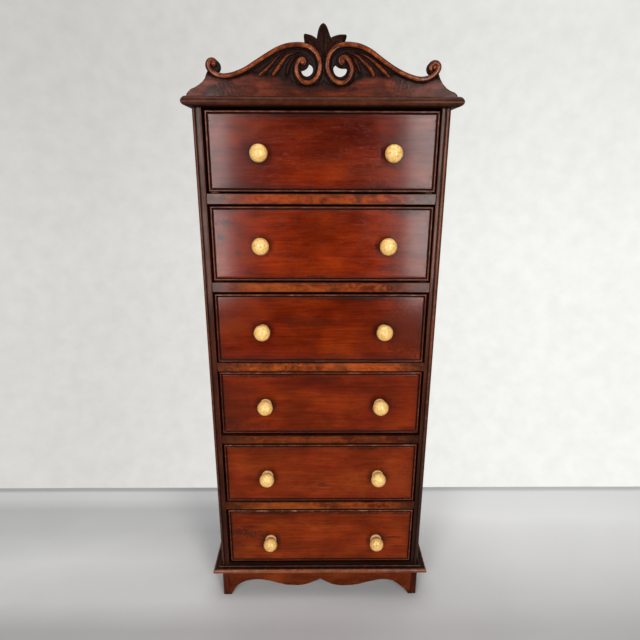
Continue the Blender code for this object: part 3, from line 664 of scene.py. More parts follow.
# (inset, depth behind the bead's crest, dirt and painted shade, wear), from the back of the front to its flat
# field; the edges turning into the gap round the drawer and the quirk inside the bead are painted near black,
# as shade and grime
FRONT_PROFILE = (
    (0.0004, 0.0110, 0.95, 0.00), (0.0000, 0.0106, 0.95, 0.00), (0.0000, 0.0060, 0.95, 0.00),
    (0.0000, 0.0022, 1.00, 0.00), (0.0001, 0.0014, 0.95, 0.00), (0.0004, 0.0007, 0.90, 0.00),
    (0.0008, 0.0003, 0.80, 0.45), (0.0012, 0.0001, 0.58, 0.80), (0.0016, 0.0000, 0.45, 1.00),
    (0.0020, 0.0001, 0.60, 0.70), (0.0024, 0.0004, 0.88, 0.05), (0.0027, 0.0009, 1.00, 0.00),
    (0.0029, 0.0015, 1.00, 0.00), (0.0033, 0.0017, 1.00, 0.00), (0.0036, 0.0014, 1.00, 0.00),
    (0.0038, 0.0007, 0.95, 0.00), (0.0041, 0.0004, 0.60, 0.12), (0.0048, 0.0003, 0.34, 0.00),
    (0.0070, 0.0003, 0.18, 0.00), (0.0110, 0.0003, 0.05, 0.00), (0.0160, 0.0003, 0.00, 0.00),
)

# How far the bead is rubbed along the bottom, right, top and left of each front, top drawer first
EDGE_RUBS = (
    (0.55, 0.60, 0.60, 0.70), (0.30, 0.55, 0.50, 0.60), (0.20, 0.40, 0.60, 0.35),
    (0.15, 0.40, 0.60, 0.20), (0.15, 0.35, 0.65, 0.25), (0.10, 0.40, 1.00, 0.30),
)
# How much bare pale wood shows where each front's bead is rubbed, top drawer first
BEAD_CHIPS = (0.45, 0.45, 0.40, 0.40, 0.50, 0.95)
# Soil left along the field just under the top bead: (drawer, x, half length)
TOP_SOIL = ((3, 0.040, 0.060), (4, -0.070, 0.040), (5, 0.060, 0.030), (6, -0.075, 0.045), (6, 0.050, 0.050),
            (6, 0.115, 0.012), (1, -0.030, 0.080), (2, 0.095, 0.030))
# How far the flat field of a front lies behind the crest of its bead
FIELD_DEPTH = 0.0003


def knob_place(drawer, side):
    low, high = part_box(f"drawer_{drawer}_knob_{side}")
    return (low[0] + high[0]) / 2, (low[2] + high[2]) / 2


def build_fronts():
    for i, (base, contrast, seed, shine) in enumerate(FRONT_LOOKS, 1):
        node = f"drawer_{i}_front"
        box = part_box(node)
        spots = list(FRONT_SPOTS[i - 1])
        for drawer, x, half in TOP_SOIL:
            if drawer == i:
                spots.append((x, box[1][2] - 0.0058, half, 0.0022, 1.0, 0.70, DARK_SPOT))
        # A painted shadow round each knob, darkening the front about it
        for side in ("left", "right"):
            x, z = knob_place(i, side)
            spots.append((x, z - 0.0015, 0.0150, 0.0150, 0.5, 0.62, DARK_SPOT))
        look = polished_wood(f"front_{i}_polish", base, "X", seed, contrast, gloss=0.165, shine=shine,
                             spots=spots, dulling=0.40, chips=BEAD_CHIPS[i - 1])
        framed_board(f"front_{i}", box, FRONT_PROFILE, (84, 30), look, f"drawer_{i}", (node,),
                     100 + i, EDGE_RUBS[i - 1])


# Small nail heads: (x, height) on each of these drawers
NAILS = {
    1: ((-0.1240, 0.6568), (0.1256, 0.6572), (0.1252, 0.6479), (0.1250, 0.5975)),
    2: ((-0.1229, 0.5444), (-0.1234, 0.4960), (0.1248, 0.5449), (0.1246, 0.4951)),
}
NAIL_RADIUS = 0.0010
NAIL_SIDES = 12
# (share of the radius, depth behind the field), from the middle of the head to the shank
NAIL_RINGS = ((0.0, -0.00010), (0.35, -0.00009), (0.70, -0.00004), (0.95, 0.00006), (1.0, 0.00030),
              (0.9, 0.0015))


def build_nails():
    metal = nail_metal("nail_iron")
    for drawer, places in NAILS.items():
        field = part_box(f"drawer_{drawer}_front")[0][1] + FIELD_DEPTH
        for k, (x, z) in enumerate(places, 1):
            points = []
            for share, depth in NAIL_RINGS:
                for s in range(NAIL_SIDES):
                    turn = 2 * math.pi * s / NAIL_SIDES
                    r = NAIL_RADIUS * share * (1 + 0.10 * math.sin(3 * turn + k))
                    points.append((x + r * math.cos(turn), field + depth, z + r * math.sin(turn)))
            faces = strip_faces(len(NAIL_RINGS), NAIL_SIDES, first_end=False)
            make_piece(f"nail_{drawer}_{k}", points, faces, metal, f"drawer_{drawer}",
                       sharp=60)


# Across a stile from the opening outwards: (share of its width, depth behind its face, dirt and painted
# shade, wear); the edge turning into the opening, the groove and the outer rounding are painted dark, as
# shade and grime
STILE_PROFILE = (
    (0.000, 0.0050, 0.95, 0.00), (0.000, 0.0012, 0.90, 0.00), (0.020, 0.0002, 0.55, 0.35),
    (0.060, 0.0000, 0.25, 0.25), (0.140, 0.0000, 0.25, 0.00), (0.300, 0.0000, 0.30, 0.00),
    (0.440, 0.0000, 0.40, 0.00), (0.530, 0.0001, 0.60, 0.10), (0.570, 0.0008, 0.95, 0.00),
    (0.600, 0.0015, 1.00, 0.00), (0.640, 0.0014, 1.00, 0.00), (0.670, 0.0009, 0.80, 0.00),
    (0.710, 0.0004, 0.35, 0.35), (0.750, 0.0001, 0.12, 0.80), (0.790, 0.0000, 0.05, 1.00),
    (0.840, 0.0002, 0.15, 0.80), (0.890, 0.0006, 0.45, 0.30), (0.940, 0.0012, 0.70, 0.00),
    (0.980, 0.0021, 0.60, 0.00), (1.000, 0.0032, 0.55, 0.00), (1.000, 0.0050, 0.55, 0.00),
)


# Side, node, base colour, where the groove lies across the strip, and how the lower part darkens
STILES = (
    (-1, "stile_left", (0.062, 0.0115, 0.0042), 0.53, (0.10, 0.36, 0.45)),
    (1, "stile_right", (0.082, 0.0170, 0.0072), 0.36, (0.16, 0.40, 0.85)),
)
STILE_STEPS = 150
STILE_SWAY = 0.00015


def build_stiles():
    for side, name, base, groove_at, sunk in STILES:
        look = polished_wood(f"{name}_polish", base, "Z", 5.0 + side, 0.9, dirt_and_shade=0.98, wear=0.42, gloss=0.26,
                             shine=0.29, fade=(0.40, 0.58, 0.12), sunk=sunk, mottle=0.60)
        low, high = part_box(name)
        inner, outer = (high[0], low[0]) if side < 0 else (low[0], high[0])
        levels = np.linspace(low[2], high[2], STILE_STEPS + 1)
        sway = waver(levels, 31 + side, 0.03) * STILE_SWAY * side
        points, dirt_and_shade, wear = [], [], []
        for level, aside in zip(levels, sway):
            for share, depth, d, w in STILE_PROFILE:
                moved = (0.0, groove_at, groove_at + 0.15, 1.0)
                place = float(np.interp(share, (0.0, 0.53, 0.68, 1.0), moved))
                x = inner + (outer - inner) * place + (aside if 0.5 < share < 0.98 else 0.0)
                points.append((x, FRONT + depth, level))
                dirt_and_shade.append(d)
                wear.append(w)
        faces = strip_faces(len(levels), len(STILE_PROFILE))
        if side < 0:
            faces = [face[::-1] for face in faces]
        make_piece(f"{name}_moulding", points, faces, look, "case", (name,),
                   {"dirt_and_shade": dirt_and_shade, "wear": wear})


# (inset, height above the board's underside, dirt and painted shade, wear), bottom up; the cornice's
# underside and the base board's top behind its nosing are painted near black as shade
CORNICE_PROFILE = (
    (0.0075, 0.0000, 1.00, 0.00), (0.0058, 0.0002, 0.95, 0.00), (0.0040, 0.0006, 0.80, 0.05),
    (0.0026, 0.0012, 0.55, 0.20), (0.0015, 0.0019, 0.30, 0.50), (0.0007, 0.0028, 0.15, 0.70),
    (0.0002, 0.0039, 0.10, 0.60), (0.0000, 0.0050, 0.15, 0.35), (0.0002, 0.0062, 0.20, 0.30),
    (0.0008, 0.0075, 0.25, 0.45), (0.0016, 0.0087, 0.30, 0.55), (0.0026, 0.0097, 0.35, 0.60),
    (0.0038, 0.0104, 0.40, 0.40), (0.0052, 0.0107, 0.60, 0.10), (0.0090, 0.0107, 0.70, 0.00),
    (0.0300, 0.0107, 0.45, 0.00),
)
BASE_PROFILE = (
    (0.0046, 0.0000, 1.00, 0.00), (0.0030, 0.0001, 0.90, 0.00), (0.0017, 0.0005, 0.60, 0.05),
    (0.0008, 0.0011, 0.30, 0.25), (0.0002, 0.0020, 0.10, 0.45), (0.0000, 0.0031, 0.00, 0.50),
    (0.0001, 0.0042, 0.00, 0.60), (0.0005, 0.0051, 0.05, 0.90), (0.0011, 0.0059, 0.15, 1.00),
    (0.0019, 0.0064, 0.60, 0.45), (0.0028, 0.0067, 0.95, 0.00), (0.0040, 0.0068, 1.00, 0.00),
    # The flat top is painted near black as shade; the small step at its back carries a light line of wear
    # that stands in for the highlight at the joint with the case
    (0.0070, 0.0068, 1.00, 0.00), (0.0072, 0.0072, 0.95, 0.05), (0.0074, 0.0075, 0.60, 0.40),
    (0.0079, 0.0076, 0.70, 0.25), (0.0085, 0.0076, 1.00, 0.00), (0.0099, 0.0076, 1.00, 0.00),
    (0.0101, 0.0068, 1.00, 0.00), (0.0160, 0.0068, 1.00, 0.00),
)


# Node, profile, base colour, seed, wear and shine
BOARDS = (
    ("cornice_board", CORNICE_PROFILE, (0.050, 0.0090, 0.0030), 13, 0.16, 0.12),
    ("base_board", BASE_PROFILE, (0.150, 0.0260, 0.0065), 17, 0.60, 0.24),
)


def build_boards():
    for node, profile, base, seed, wear, shine in BOARDS:
        low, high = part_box(node)
        look = polished_wood(f"{node}_polish", base, "X", seed, 0.9, 0.30, gloss=0.28, shine=shine, wear=wear)
        levels = [(inset, low[2] + rise, d, w) for inset, rise, d, w in profile]
        moulded_board(f"{node}_moulding", low, high, levels, (150, 60), look, (node,), seed)


# Base colour, strength of the mottled figure and shine, top rail first
RAIL_LOOKS = (
    ((0.168, 0.0205, 0.0026), 0.90, 0.40),
    ((0.170, 0.0250, 0.0045), 0.70, 0.24),
    ((0.224, 0.0350, 0.0055), 0.70, 0.18),
    ((0.108, 0.0175, 0.0035), 0.60, 0.15),
    ((0.154, 0.0250, 0.0045), 0.65, 0.14),
)


# Nodes that get a small worn bevel, and its width
BEVELLED = ("apron_front", "apron_left", "apron_right", "side_panel_left", "side_panel_right")
WORN_EDGE = 0.0005


def dress_cad_nodes():
    """Materials for the CAD nodes whose shape is right, and a small worn bevel on their edges."""
    side = polished_wood("side_polish", (0.105, 0.0135, 0.0030), "Z", 3, 0.95,
                         gloss=0.28, shine=0.34, masks=side_soil)
    # The bottom board's edge under the lowest drawer gets a near-black polish: painted shade
    under = polished_wood("bottom_polish_painted_shade", (0.016, 0.0050, 0.0028), "X", 31, 0.8,
                          gloss=0.34, shine=0.20, masks=side_soil)
    apron = polished_wood("apron_polish", (0.096, 0.0135, 0.0022), "X", 19, 0.95, 0.25,
                          gloss=0.30, shine=0.10, masks=apron_painted_shade)
    foot = polished_wood("foot_polish", (0.060, 0.0100, 0.0030), "Z", 21, 0.8,
                         gloss=0.30, shine=0.12, masks=apron_painted_shade)
    inside = plain_wood("drawer_side_pine", (0.430, 0.255, 0.125), "Y", 2.0)
    floor = plain_wood("drawer_bottom_pine", (0.470, 0.290, 0.150), "X", 4.0)
    back = plain_wood("back_board_pine", (0.300, 0.165, 0.080), "Z", 6.0, age=0.55)
    looks = {"side_panel_left": side, "side_panel_right": side, "apron_front": apron, "apron_left": foot,
             "apron_right": foot, "back_panel": back, "bottom_board": under}
    for i, (base, figure, shine) in enumerate(RAIL_LOOKS, 1):
        looks[f"divider_{i}"] = polished_wood(
            f"rail_{i}_polish", base, "X", 29 + 7 * i, 0.85, figure,
            gloss=0.24, shine=shine, masks=rail_soil_and_shade, dulling=0.10, mottle=0.35,
        )
    for i in range(1, 7):
        looks[f"drawer_{i}_side_left"] = looks[f"drawer_{i}_side_right"] = inside
        looks[f"drawer_{i}_bottom"] = looks[f"drawer_{i}_back"] = floor
    for node, look in looks.items():
        obj = frame["nodes"][node]
        obj.data.materials.clear()
        obj.data.materials.append(look)
    for node in BEVELLED:
        obj = frame["nodes"][node]
        obj.modifiers.new("weld", "WELD").merge_threshold = 0.000002
        bevel = obj.modifiers.new("worn_edges", "BEVEL")
        bevel.width = WORN_EDGE
        bevel.segments = 2
        bevel.limit_method = "ANGLE"
        bevel.angle_limit = math.radians(55)


# ---------------------------------------------------------------- knobs

# No two balls are turned to quite the same size: left and right of each drawer, top drawer first
KNOB_SIZES = ((0.985, 0.985), (0.998, 0.993), (0.999, 0.999), (0.975, 0.999), (0.975, 0.985), (0.945, 0.950))
KNOB_TONES = (0.905, 0.92, 0.885, 0.815)
KNOB_SIDES = 44
BALL_RADIUS = 0.0101
BALL_HALF_DEPTH = 0.0081
BALL_MIDDLE = 0.0124
# The neck, the collar and the tenon: (radius, distance out, dirt and painted shade); the neck between ball
# and collar is painted dark as shade
KNOB_NECK = (
    (0.00480, 0.0056, 1.00), (0.00445, 0.0051, 1.00), (0.00445, 0.0046, 1.00), (0.00480, 0.0042, 0.95),
    (0.00580, 0.0040, 0.60), (0.00690, 0.0038, 0.20), (0.00745, 0.0035, 0.05), (0.00775, 0.0030, 0.00),
    (0.00780, 0.0024, 0.00), (0.00760, 0.0018, 0.05), (0.00735, 0.0015, 0.25), (0.00730, 0.0012, 0.40),
    (0.00745, 0.0008, 0.55), (0.00735, 0.0003, 0.80), (0.00300, 0.0002, 0.80), (0.00300, -0.0104, 0.30),
    (0.00270, -0.0110, 0.20), (0.00000, -0.0110, 0.10),
)


def knob_outline():
    """From the pole down to the tenon's end: (radius, distance out, dirt and painted shade); the back of the
    ball, by the neck, is painted darker as shade.
    """
    pole = BALL_MIDDLE + BALL_HALF_DEPTH
    rows = [(0.0, pole - 0.00008, 0.20), (0.0003, pole - 0.00004, 0.10)]
    for k in range(1, 24):
        turn = math.radians(3.2 + 5.9 * k)
        out = BALL_MIDDLE + BALL_HALF_DEPTH * math.cos(turn)
        rows.append((BALL_RADIUS * math.sin(turn), out, max(0.0, 0.30 * (k - 20))))
    return rows + list(KNOB_NECK)


def build_knobs():
    rows = knob_outline()
    looks = [knob_wood(f"knob_boxwood_{k}", 3.0 + 5.3 * k, tone) for k, tone in enumerate(KNOB_TONES)]
    for i in range(1, 7):
        for s, side in enumerate(("left", "right")):
            x, z = knob_place(i, side)
            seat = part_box(f"drawer_{i}_front")[0][1] + FIELD_DEPTH
            seed = i * 2 + s
            rng = np.random.default_rng(seed)
            fat, tall = KNOB_SIZES[i - 1][s], rng.uniform(0.985, 0.999)
            lean = rng.uniform(-0.0002, 0.0002, 2)
            points, dirt_and_shade = [], []
            for radius, out, d in rows:
                radius *= fat if out > 0.0062 else 1.0
                # Faint turning marks round the ball
                groove = 0.00003 * math.sin(out * 9000) if 0.008 < out < 0.0185 else 0.0
                tilt = max(out, 0) / 0.020
                for k in range(KNOB_SIDES):
                    turn = 2 * math.pi * k / KNOB_SIDES
                    r = (radius + groove) * (1 + 0.006 * math.sin(2 * turn + seed)) if radius else 0.0
                    points.append((x + r * math.cos(turn) + lean[0] * tilt,
                                   seat - (out * tall if out > 0 else out),
                                   z + r * math.sin(turn) + lean[1] * tilt))
                    dirt_and_shade.append(d)
            faces = [face[::-1] for face in strip_faces(len(rows), KNOB_SIDES, False, False)]
            look = looks[(s, s, 1 - s, 2, 2, 3)[i - 1]]
            make_piece(f"knob_{i}_{side}", points, faces, look, f"drawer_{i}", (f"drawer_{i}_knob_{side}",),
                       {"dirt_and_shade": dirt_and_shade}, 60)


# ---------------------------------------------------------------- the carved crest

CREST_LOW, CREST_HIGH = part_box("crest_board")
CREST_FOOT = CREST_LOW[2]
CREST_FACE = FRONT - 0.0025
CREST_BACK = CREST_HIGH[1]

# From here on, the crest is in centimetres: x, and height above the crest's foot.
# The sawn outline at the two ends
LEFT_END = (
    (-14.62, 0.00), (-14.56, 0.22), (-14.38, 0.40), (-14.08, 0.66), (-13.70, 0.80), (-13.26, 1.04),
    (-12.80, 1.36), (-12.48, 1.74), (-12.33, 2.20), (-12.15, 2.70), (-11.50, 2.80),
)
RIGHT_END = (
    (12.00, 2.75), (12.42, 2.65), (12.56, 2.22), (12.68, 1.76), (13.00, 1.27), (13.44, 0.83),
    (13.92, 0.56), (14.34, 0.42), (14.62, 0.20), (14.72, 0.00),
)
# The middle line of each roll, from the eye in the middle to the volute at the end
LEFT_SCROLL = (
    (-1.98, 3.12), (-1.84, 3.37), (-2.00, 3.60), (-2.33, 3.56), (-2.60, 3.24), (-2.73, 2.80), (-2.70, 2.30),
    (-2.47, 1.80), (-2.04, 1.43), (-1.50, 1.32),
    (-0.97, 1.49), (-0.54, 1.90), (-0.28, 2.47), (-0.22, 3.05), (-0.33, 3.62), (-0.66, 4.22), (-1.28, 4.70),
    (-2.01, 4.92), (-2.85, 4.95), (-3.79, 4.83), (-4.85, 4.46), (-5.91, 3.90), (-6.99, 3.27), (-8.07, 2.64),
    (-9.15, 2.19), (-10.01, 1.98), (-10.62, 1.95), (-11.18, 2.07), (-11.72, 2.38), (-12.04, 2.80),
    (-12.04, 3.18), (-11.82, 3.42), (-11.50, 3.44), (-11.28, 3.22),
)
RIGHT_SCROLL = (
    (2.10, 3.20), (1.88, 3.42), (1.99, 3.70), (2.36, 3.82), (2.74, 3.62), (3.02, 3.20), (3.17, 2.72),
    (3.12, 2.25), (2.90, 1.76), (2.42, 1.39),
    (1.87, 1.33), (1.28, 1.61), (0.84, 2.09), (0.59, 2.67), (0.57, 3.24), (0.72, 3.91), (1.08, 4.43),
    (1.66, 4.84), (2.39, 5.00), (3.23, 4.98), (4.07, 4.82), (5.03, 4.42), (5.90, 3.86), (6.76, 3.29),
    (7.64, 2.76), (8.51, 2.32), (9.39, 1.97), (10.26, 1.75), (11.00, 1.74), (11.70, 1.97), (12.22, 2.40),
    (12.43, 2.86), (12.30, 3.18), (11.98, 3.30), (11.67, 3.16), (11.54, 2.88), (11.62, 2.62),
)
# Which points of a roll the sawn outline follows
LEFT_TOP_RUN = slice(17, 28)
RIGHT_TOP_RUN = slice(17, 30)
# (x, height, radius)
VOLUTES = ((-11.60, 2.94, 0.72), (11.99, 2.86, 0.70))
EYES = ((-2.08, 3.32, 0.31), (2.17, 3.42, 0.30), (-11.48, 3.14, 0.34), (12.00, 2.90, 0.26))
# The leaves' outline, from left to right
LEAF_TIPS = (
    (-1.80, 5.14), (-1.86, 5.56), (-1.89, 5.84), (-1.84, 5.97), (-1.70, 6.02), (-1.40, 5.97), (-1.08, 5.84),
    (-0.80, 5.70), (-0.52, 5.55), (-0.50, 5.80), (-0.43, 6.17), (-0.33, 6.52), (-0.17, 6.83), (0.11, 7.06),
    (0.37, 6.87), (0.53, 6.58), (0.67, 6.24), (0.80, 5.90), (0.92, 5.68), (1.27, 5.84), (1.65, 5.93),
    (2.05, 5.98), (2.38, 5.95), (2.54, 5.86), (2.46, 5.60), (2.35, 5.26),
)
# Each leaf's midrib: (x, height, half width)
LEAVES = (
    ((0.16, 2.20, 0.04), (0.15, 3.40, 0.14), (0.16, 4.60, 0.42), (0.17, 5.50, 0.66), (0.14, 6.20, 0.50),
     (0.12, 6.70, 0.26), (0.11, 7.03, 0.05)),
    ((-0.05, 3.90, 0.05), (-0.40, 4.70, 0.24), (-0.95, 5.30, 0.36), (-1.45, 5.66, 0.34), (-1.86, 5.96, 0.10)),
    ((0.38, 3.90, 0.05), (0.76, 4.70, 0.24), (1.35, 5.28, 0.36), (1.95, 5.62, 0.36), (2.50, 5.90, 0.10)),
)
# Raised fingers between the gouges: (x, height, half width)
FINGERS = (
    ((-3.90, 4.30, 0.05), (-4.70, 3.86, 0.09), (-5.30, 3.22, 0.15), (-5.95, 2.64, 0.21), (-6.62, 2.10, 0.22)),
    ((-2.35, 4.30, 0.05), (-2.95, 4.20, 0.10), (-3.70, 3.94, 0.16), (-4.35, 3.22, 0.23), (-4.79, 2.64, 0.27),
     (-5.18, 2.16, 0.24)),
    ((-2.50, 3.98, 0.06), (-2.85, 3.82, 0.12), (-3.29, 3.42, 0.20), (-3.60, 2.84, 0.25), (-3.74, 2.26, 0.20)),
    ((2.95, 4.05, 0.05), (3.26, 3.90, 0.09), (3.62, 3.36, 0.14), (3.88, 2.86, 0.16), (4.04, 2.44, 0.14)),
    ((2.45, 4.30, 0.05), (3.00, 4.22, 0.10), (3.78, 3.92, 0.16), (4.43, 3.36, 0.23), (5.09, 2.79, 0.27),
     (5.52, 2.12, 0.22)),
    ((3.55, 4.34, 0.05), (4.25, 4.12, 0.10), (5.05, 3.74, 0.16), (5.92, 3.08, 0.23), (6.59, 2.50, 0.26),
     (7.18, 1.94, 0.20)),
)
# How much each finger's ridge is rubbed and painted light as a highlight
FINGER_RUB_AND_HIGHLIGHT = (0.75, 1.0, 0.25, 0.55, 0.95, 0.95)
PIERCINGS = (
    ((-1.37, 3.26), (-1.09, 3.08), (-0.97, 2.80), (-1.00, 2.46), (-1.20, 2.18), (-1.60, 2.00),
     (-2.00, 2.14), (-2.22, 2.55), (-1.85, 2.70), (-1.56, 2.92)),
    ((1.46, 3.18), (1.70, 2.99), (2.10, 2.86), (2.64, 2.83), (2.64, 2.50), (2.42, 2.16),
     (1.96, 1.97), (1.48, 2.14), (1.24, 2.58), (1.26, 2.95)),
)
# Where the carved ground gives way to the plain lower part of the board
GROUND_LINE = (
    (-15.0, 2.30), (-12.2, 2.05), (-11.0, 1.75), (-10.0, 1.62), (-9.0, 1.78), (-7.6, 2.15), (-6.4, 1.98),
    (-5.0, 1.86), (-4.0, 1.70), (-3.1, 1.25), (-2.4, 0.95), (-1.5, 0.80), (-0.6, 0.98), (0.2, 1.15),
    (1.0, 0.95), (1.9, 0.82), (2.8, 0.98), (3.5, 1.45), (4.3, 1.85), (5.4, 1.90), (6.6, 1.84), (7.8, 2.05),
    (8.8, 1.75), (10.0, 1.40), (11.2, 1.35), (12.2, 1.75), (15.0, 2.30),
)
# How deep the carved ground lies
GROUND = 0.20
# The small squares that the carved face is built from: their size, and how far they reach
CELL = 0.04
GRID_HALF, GRID_TOP = 15.0, 7.2


def directions(points):
    """The direction of a line at each of its points."""
    along = np.vstack([points[1:], points[-1:]]) - np.vstack([points[:1], points[:-1]])
    return along / np.linalg.norm(along, axis=1)[:, None]


def offset_line(points, distance):
    along = directions(points)
    return points + np.column_stack([-along[:, 1], along[:, 0]]) * distance


def crest_outline():
    left = offset_line(catmull(LEFT_SCROLL[LEFT_TOP_RUN][::-1], 3), 0.15)
    right = offset_line(catmull(RIGHT_SCROLL[RIGHT_TOP_RUN], 3), 0.15)
    return np.vstack([LEFT_END, left, catmull(LEAF_TIPS[:9], 3)[:-1], catmull(LEAF_TIPS[8:19], 3)[:-1],
                      catmull(LEAF_TIPS[18:], 3), right, RIGHT_END])


def to_segments(points, line):
    """Nearest distance from each point to a line, and the share along it."""
    line = np.asarray(line, float)[:, :2]
    best = np.full(len(points), 1e9)
    share = np.zeros(len(points))
    total = np.concatenate([[0], np.cumsum(np.linalg.norm(np.diff(line, axis=0), axis=1))])
    for i in range(len(line) - 1):
        step = line[i + 1] - line[i]
        size = step @ step
        if size < 1e-12:
            continue
        t = np.clip(((points - line[i]) @ step) / size, 0, 1)
        away = points - (line[i] + t[:, None] * step)
        d = np.hypot(away[:, 0], away[:, 1])
        closer = d < best
        best[closer] = d[closer]
        share[closer] = ((total[i] + t * math.sqrt(size)) / total[-1])[closer]
    return best, share


def signed(points, outline):
    """Distance to a closed outline, negative inside."""
    outline = np.asarray(outline, float)
    loop = np.vstack([outline, outline[:1]])
    d, _ = to_segments(points, loop)
    inside = np.zeros(len(points), bool)
    x, z = points[:, 0], points[:, 1]
    for i in range(len(outline)):
        (ax, az), (bx, bz) = loop[i], loop[i + 1]
        crosses = (az > z) != (bz > z)
        if az != bz:
            inside ^= crosses & (x < (bx - ax) * (z - az) / (bz - az) + ax)
    return np.where(inside, -d, d)


def smooth_step(value, low, high):
    t = np.clip((value - low) / (high - low), 0, 1)
    return t * t * (3 - 2 * t)


def swell(values, middle, width):
    """1 at the middle, falling smoothly to 0 on both sides."""
    return np.exp(-(((values - middle) / width) ** 2))


def crest_sdf(points):
    """Distance to the outline of the crest, negative inside the wood."""
    found = signed(points, crest_outline()) - 0.05
    found = np.maximum(found, points[:, 1] - (CREST_HIGH[2] - CREST_FOOT) / CM + 0.003)
    for x, z, radius in VOLUTES:
        found = np.minimum(found, np.hypot(points[:, 0] - x, points[:, 1] - z) - radius)
    for outline in PIERCINGS:
        loop = catmull(list(outline) + [outline[0]], 5)[:-1]
        found = np.maximum(found, -signed(points, loop))
    return found


def crest_relief(points, sdf):
    """How far the carved face stands forward of the plain board, with dirt and painted shade, and wear, from
    0 to 1.
    """
    x, z = points[:, 0], points[:, 1]
    line = np.array(GROUND_LINE)
    over = z - np.interp(x, line[:, 0], line[:, 1])
    rough = 0.10 * waver(x, 71, 1.1) + 0.05 * waver(x, 72, 0.4)
    ground = smooth_step(over + rough, -0.08, 0.42)
    ground_polish_and_shade = smooth_step(over + rough * 2.0, -0.62, 0.26)
    height = -GROUND * ground
    # The carved ground is painted near black: black polish and painted shade
    dirt_and_shade = 0.96 * ground_polish_and_shade
    wear = np.zeros(len(points))
    near = np.minimum(*(to_segments(points, catmull(scroll, 3))[0] for scroll in (LEFT_SCROLL, RIGHT_SCROLL)))
    height -= 0.05 * swell(near, 0.34, 0.13) * (0.3 + 0.7 * ground)
    # Painted shade on the ground close beside the rolls
    dirt_and_shade = np.maximum(dirt_and_shade, 0.95 * swell(np.maximum(near, 0.26), 0.26, 0.20))
    height += 0.02 * np.sin(near * 16) * ground * (near < 1.4)
    for finger, rub in zip(FINGERS, FINGER_RUB_AND_HIGHLIGHT):
        rib = catmull(finger, 6)
        d, share = to_segments(points, rib)
        half = np.interp(share, np.linspace(0, 1, len(rib)), rib[:, 2]) * 1.12
        u = d / half
        body = np.clip(1 - u, 0, 1)
        crown = np.sqrt(np.clip(1 - u**2, 0, 1))
        rise = (0.18 + 0.24 * share) * (0.60 * crown + 0.40 * body)
        inside = u < 1
        height = np.where(inside, np.maximum(height, rise - GROUND), height)
        ridge = smooth_step(body, 0.20, 0.58)
        lit = ridge * smooth_step(share, 0.02, 0.30)
        # Each finger's sides are painted dark as shade; its lit ridge is lighter, as rubbing and painted
        # highlight
        dirt_and_shade = np.where(inside, np.minimum(dirt_and_shade, 0.92 - 0.86 * rub * lit), dirt_and_shade)
        rubbed = lit * rub * (0.45 + 0.55 * smooth_step(share, 0.35, 0.95))
        wear = np.where(inside, np.maximum(wear, rubbed), wear)
        gouge = swell(d - half, 0.07, 0.07) * (share > 0.05)
        height = np.where(inside, height, height - 0.04 * gouge * ground)
    for number, leaf in enumerate(LEAVES):
        middle = number == 0
        rib = catmull(leaf, 6)
        d, share = to_segments(points, rib)
        half = np.interp(share, np.linspace(0, 1, len(rib)), rib[:, 2])
        u = d / np.maximum(half, 0.02)
        inside = (u < 1.25) & (sdf < 0.02) & (near > 0.20)
        midrib = swell(d, 0.0, 0.055)
        rim = swell(u, 0.86, 0.14)
        hollow = -0.09 * np.sin(np.clip(u, 0, 1) * math.pi)
        rise = (0.02 if middle else -0.02) + 0.15 * midrib + 0.10 * rim + hollow
        blend = smooth_step(share, 0.04, 0.30)
        lifted = -0.15 + (rise + 0.15) * blend
        height = np.where(inside, np.maximum(height, lifted) if middle else lifted, height)
        # Leaves are painted near black, as black polish and painted shade, lightest on the midrib and rim as
        # painted highlight with some rubbing
        tone = 0.92 - 0.34 * midrib - 0.18 * rim
        dirt_and_shade = np.where(inside, tone + (1 - blend) * 0.20, dirt_and_shade)
        wear = np.where(inside, (0.30 * midrib + 0.16 * rim) * blend, wear)
    for x0, z0, radius in VOLUTES:
        d = np.hypot(x - x0, z - z0)
        inside = d < radius + 0.05
        height = np.where(inside, -0.10 + 0.05 * (d / radius) ** 2, height)
        # The volute's hollow disc is painted fully dark as shade
        dirt_and_shade = np.where(inside, 1.0, dirt_and_shade)
    edge = np.clip(-sdf, 0, 0.10)
    height -= 0.10 - np.sqrt(np.clip(0.01 - (0.10 - edge) ** 2, 0, None))
    # Painted shade along the rounded outline, where the edge turns away
    dirt_and_shade = np.maximum(dirt_and_shade, 0.55 * (1 - edge / 0.10))
    # A light line along the foot: wear that stands in for a highlight on the lower edge
    wear = np.maximum(wear, 0.55 * swell(z, 0.0, 0.10))
    bare = 0.020 * waver(x * 1.3 + z * 2.1, 91, 0.5) * waver(z * 1.7 - x * 0.4, 92, 0.35)
    return height + bare, np.clip(dirt_and_shade, 0, 1), np.clip(wear, 0, 1)


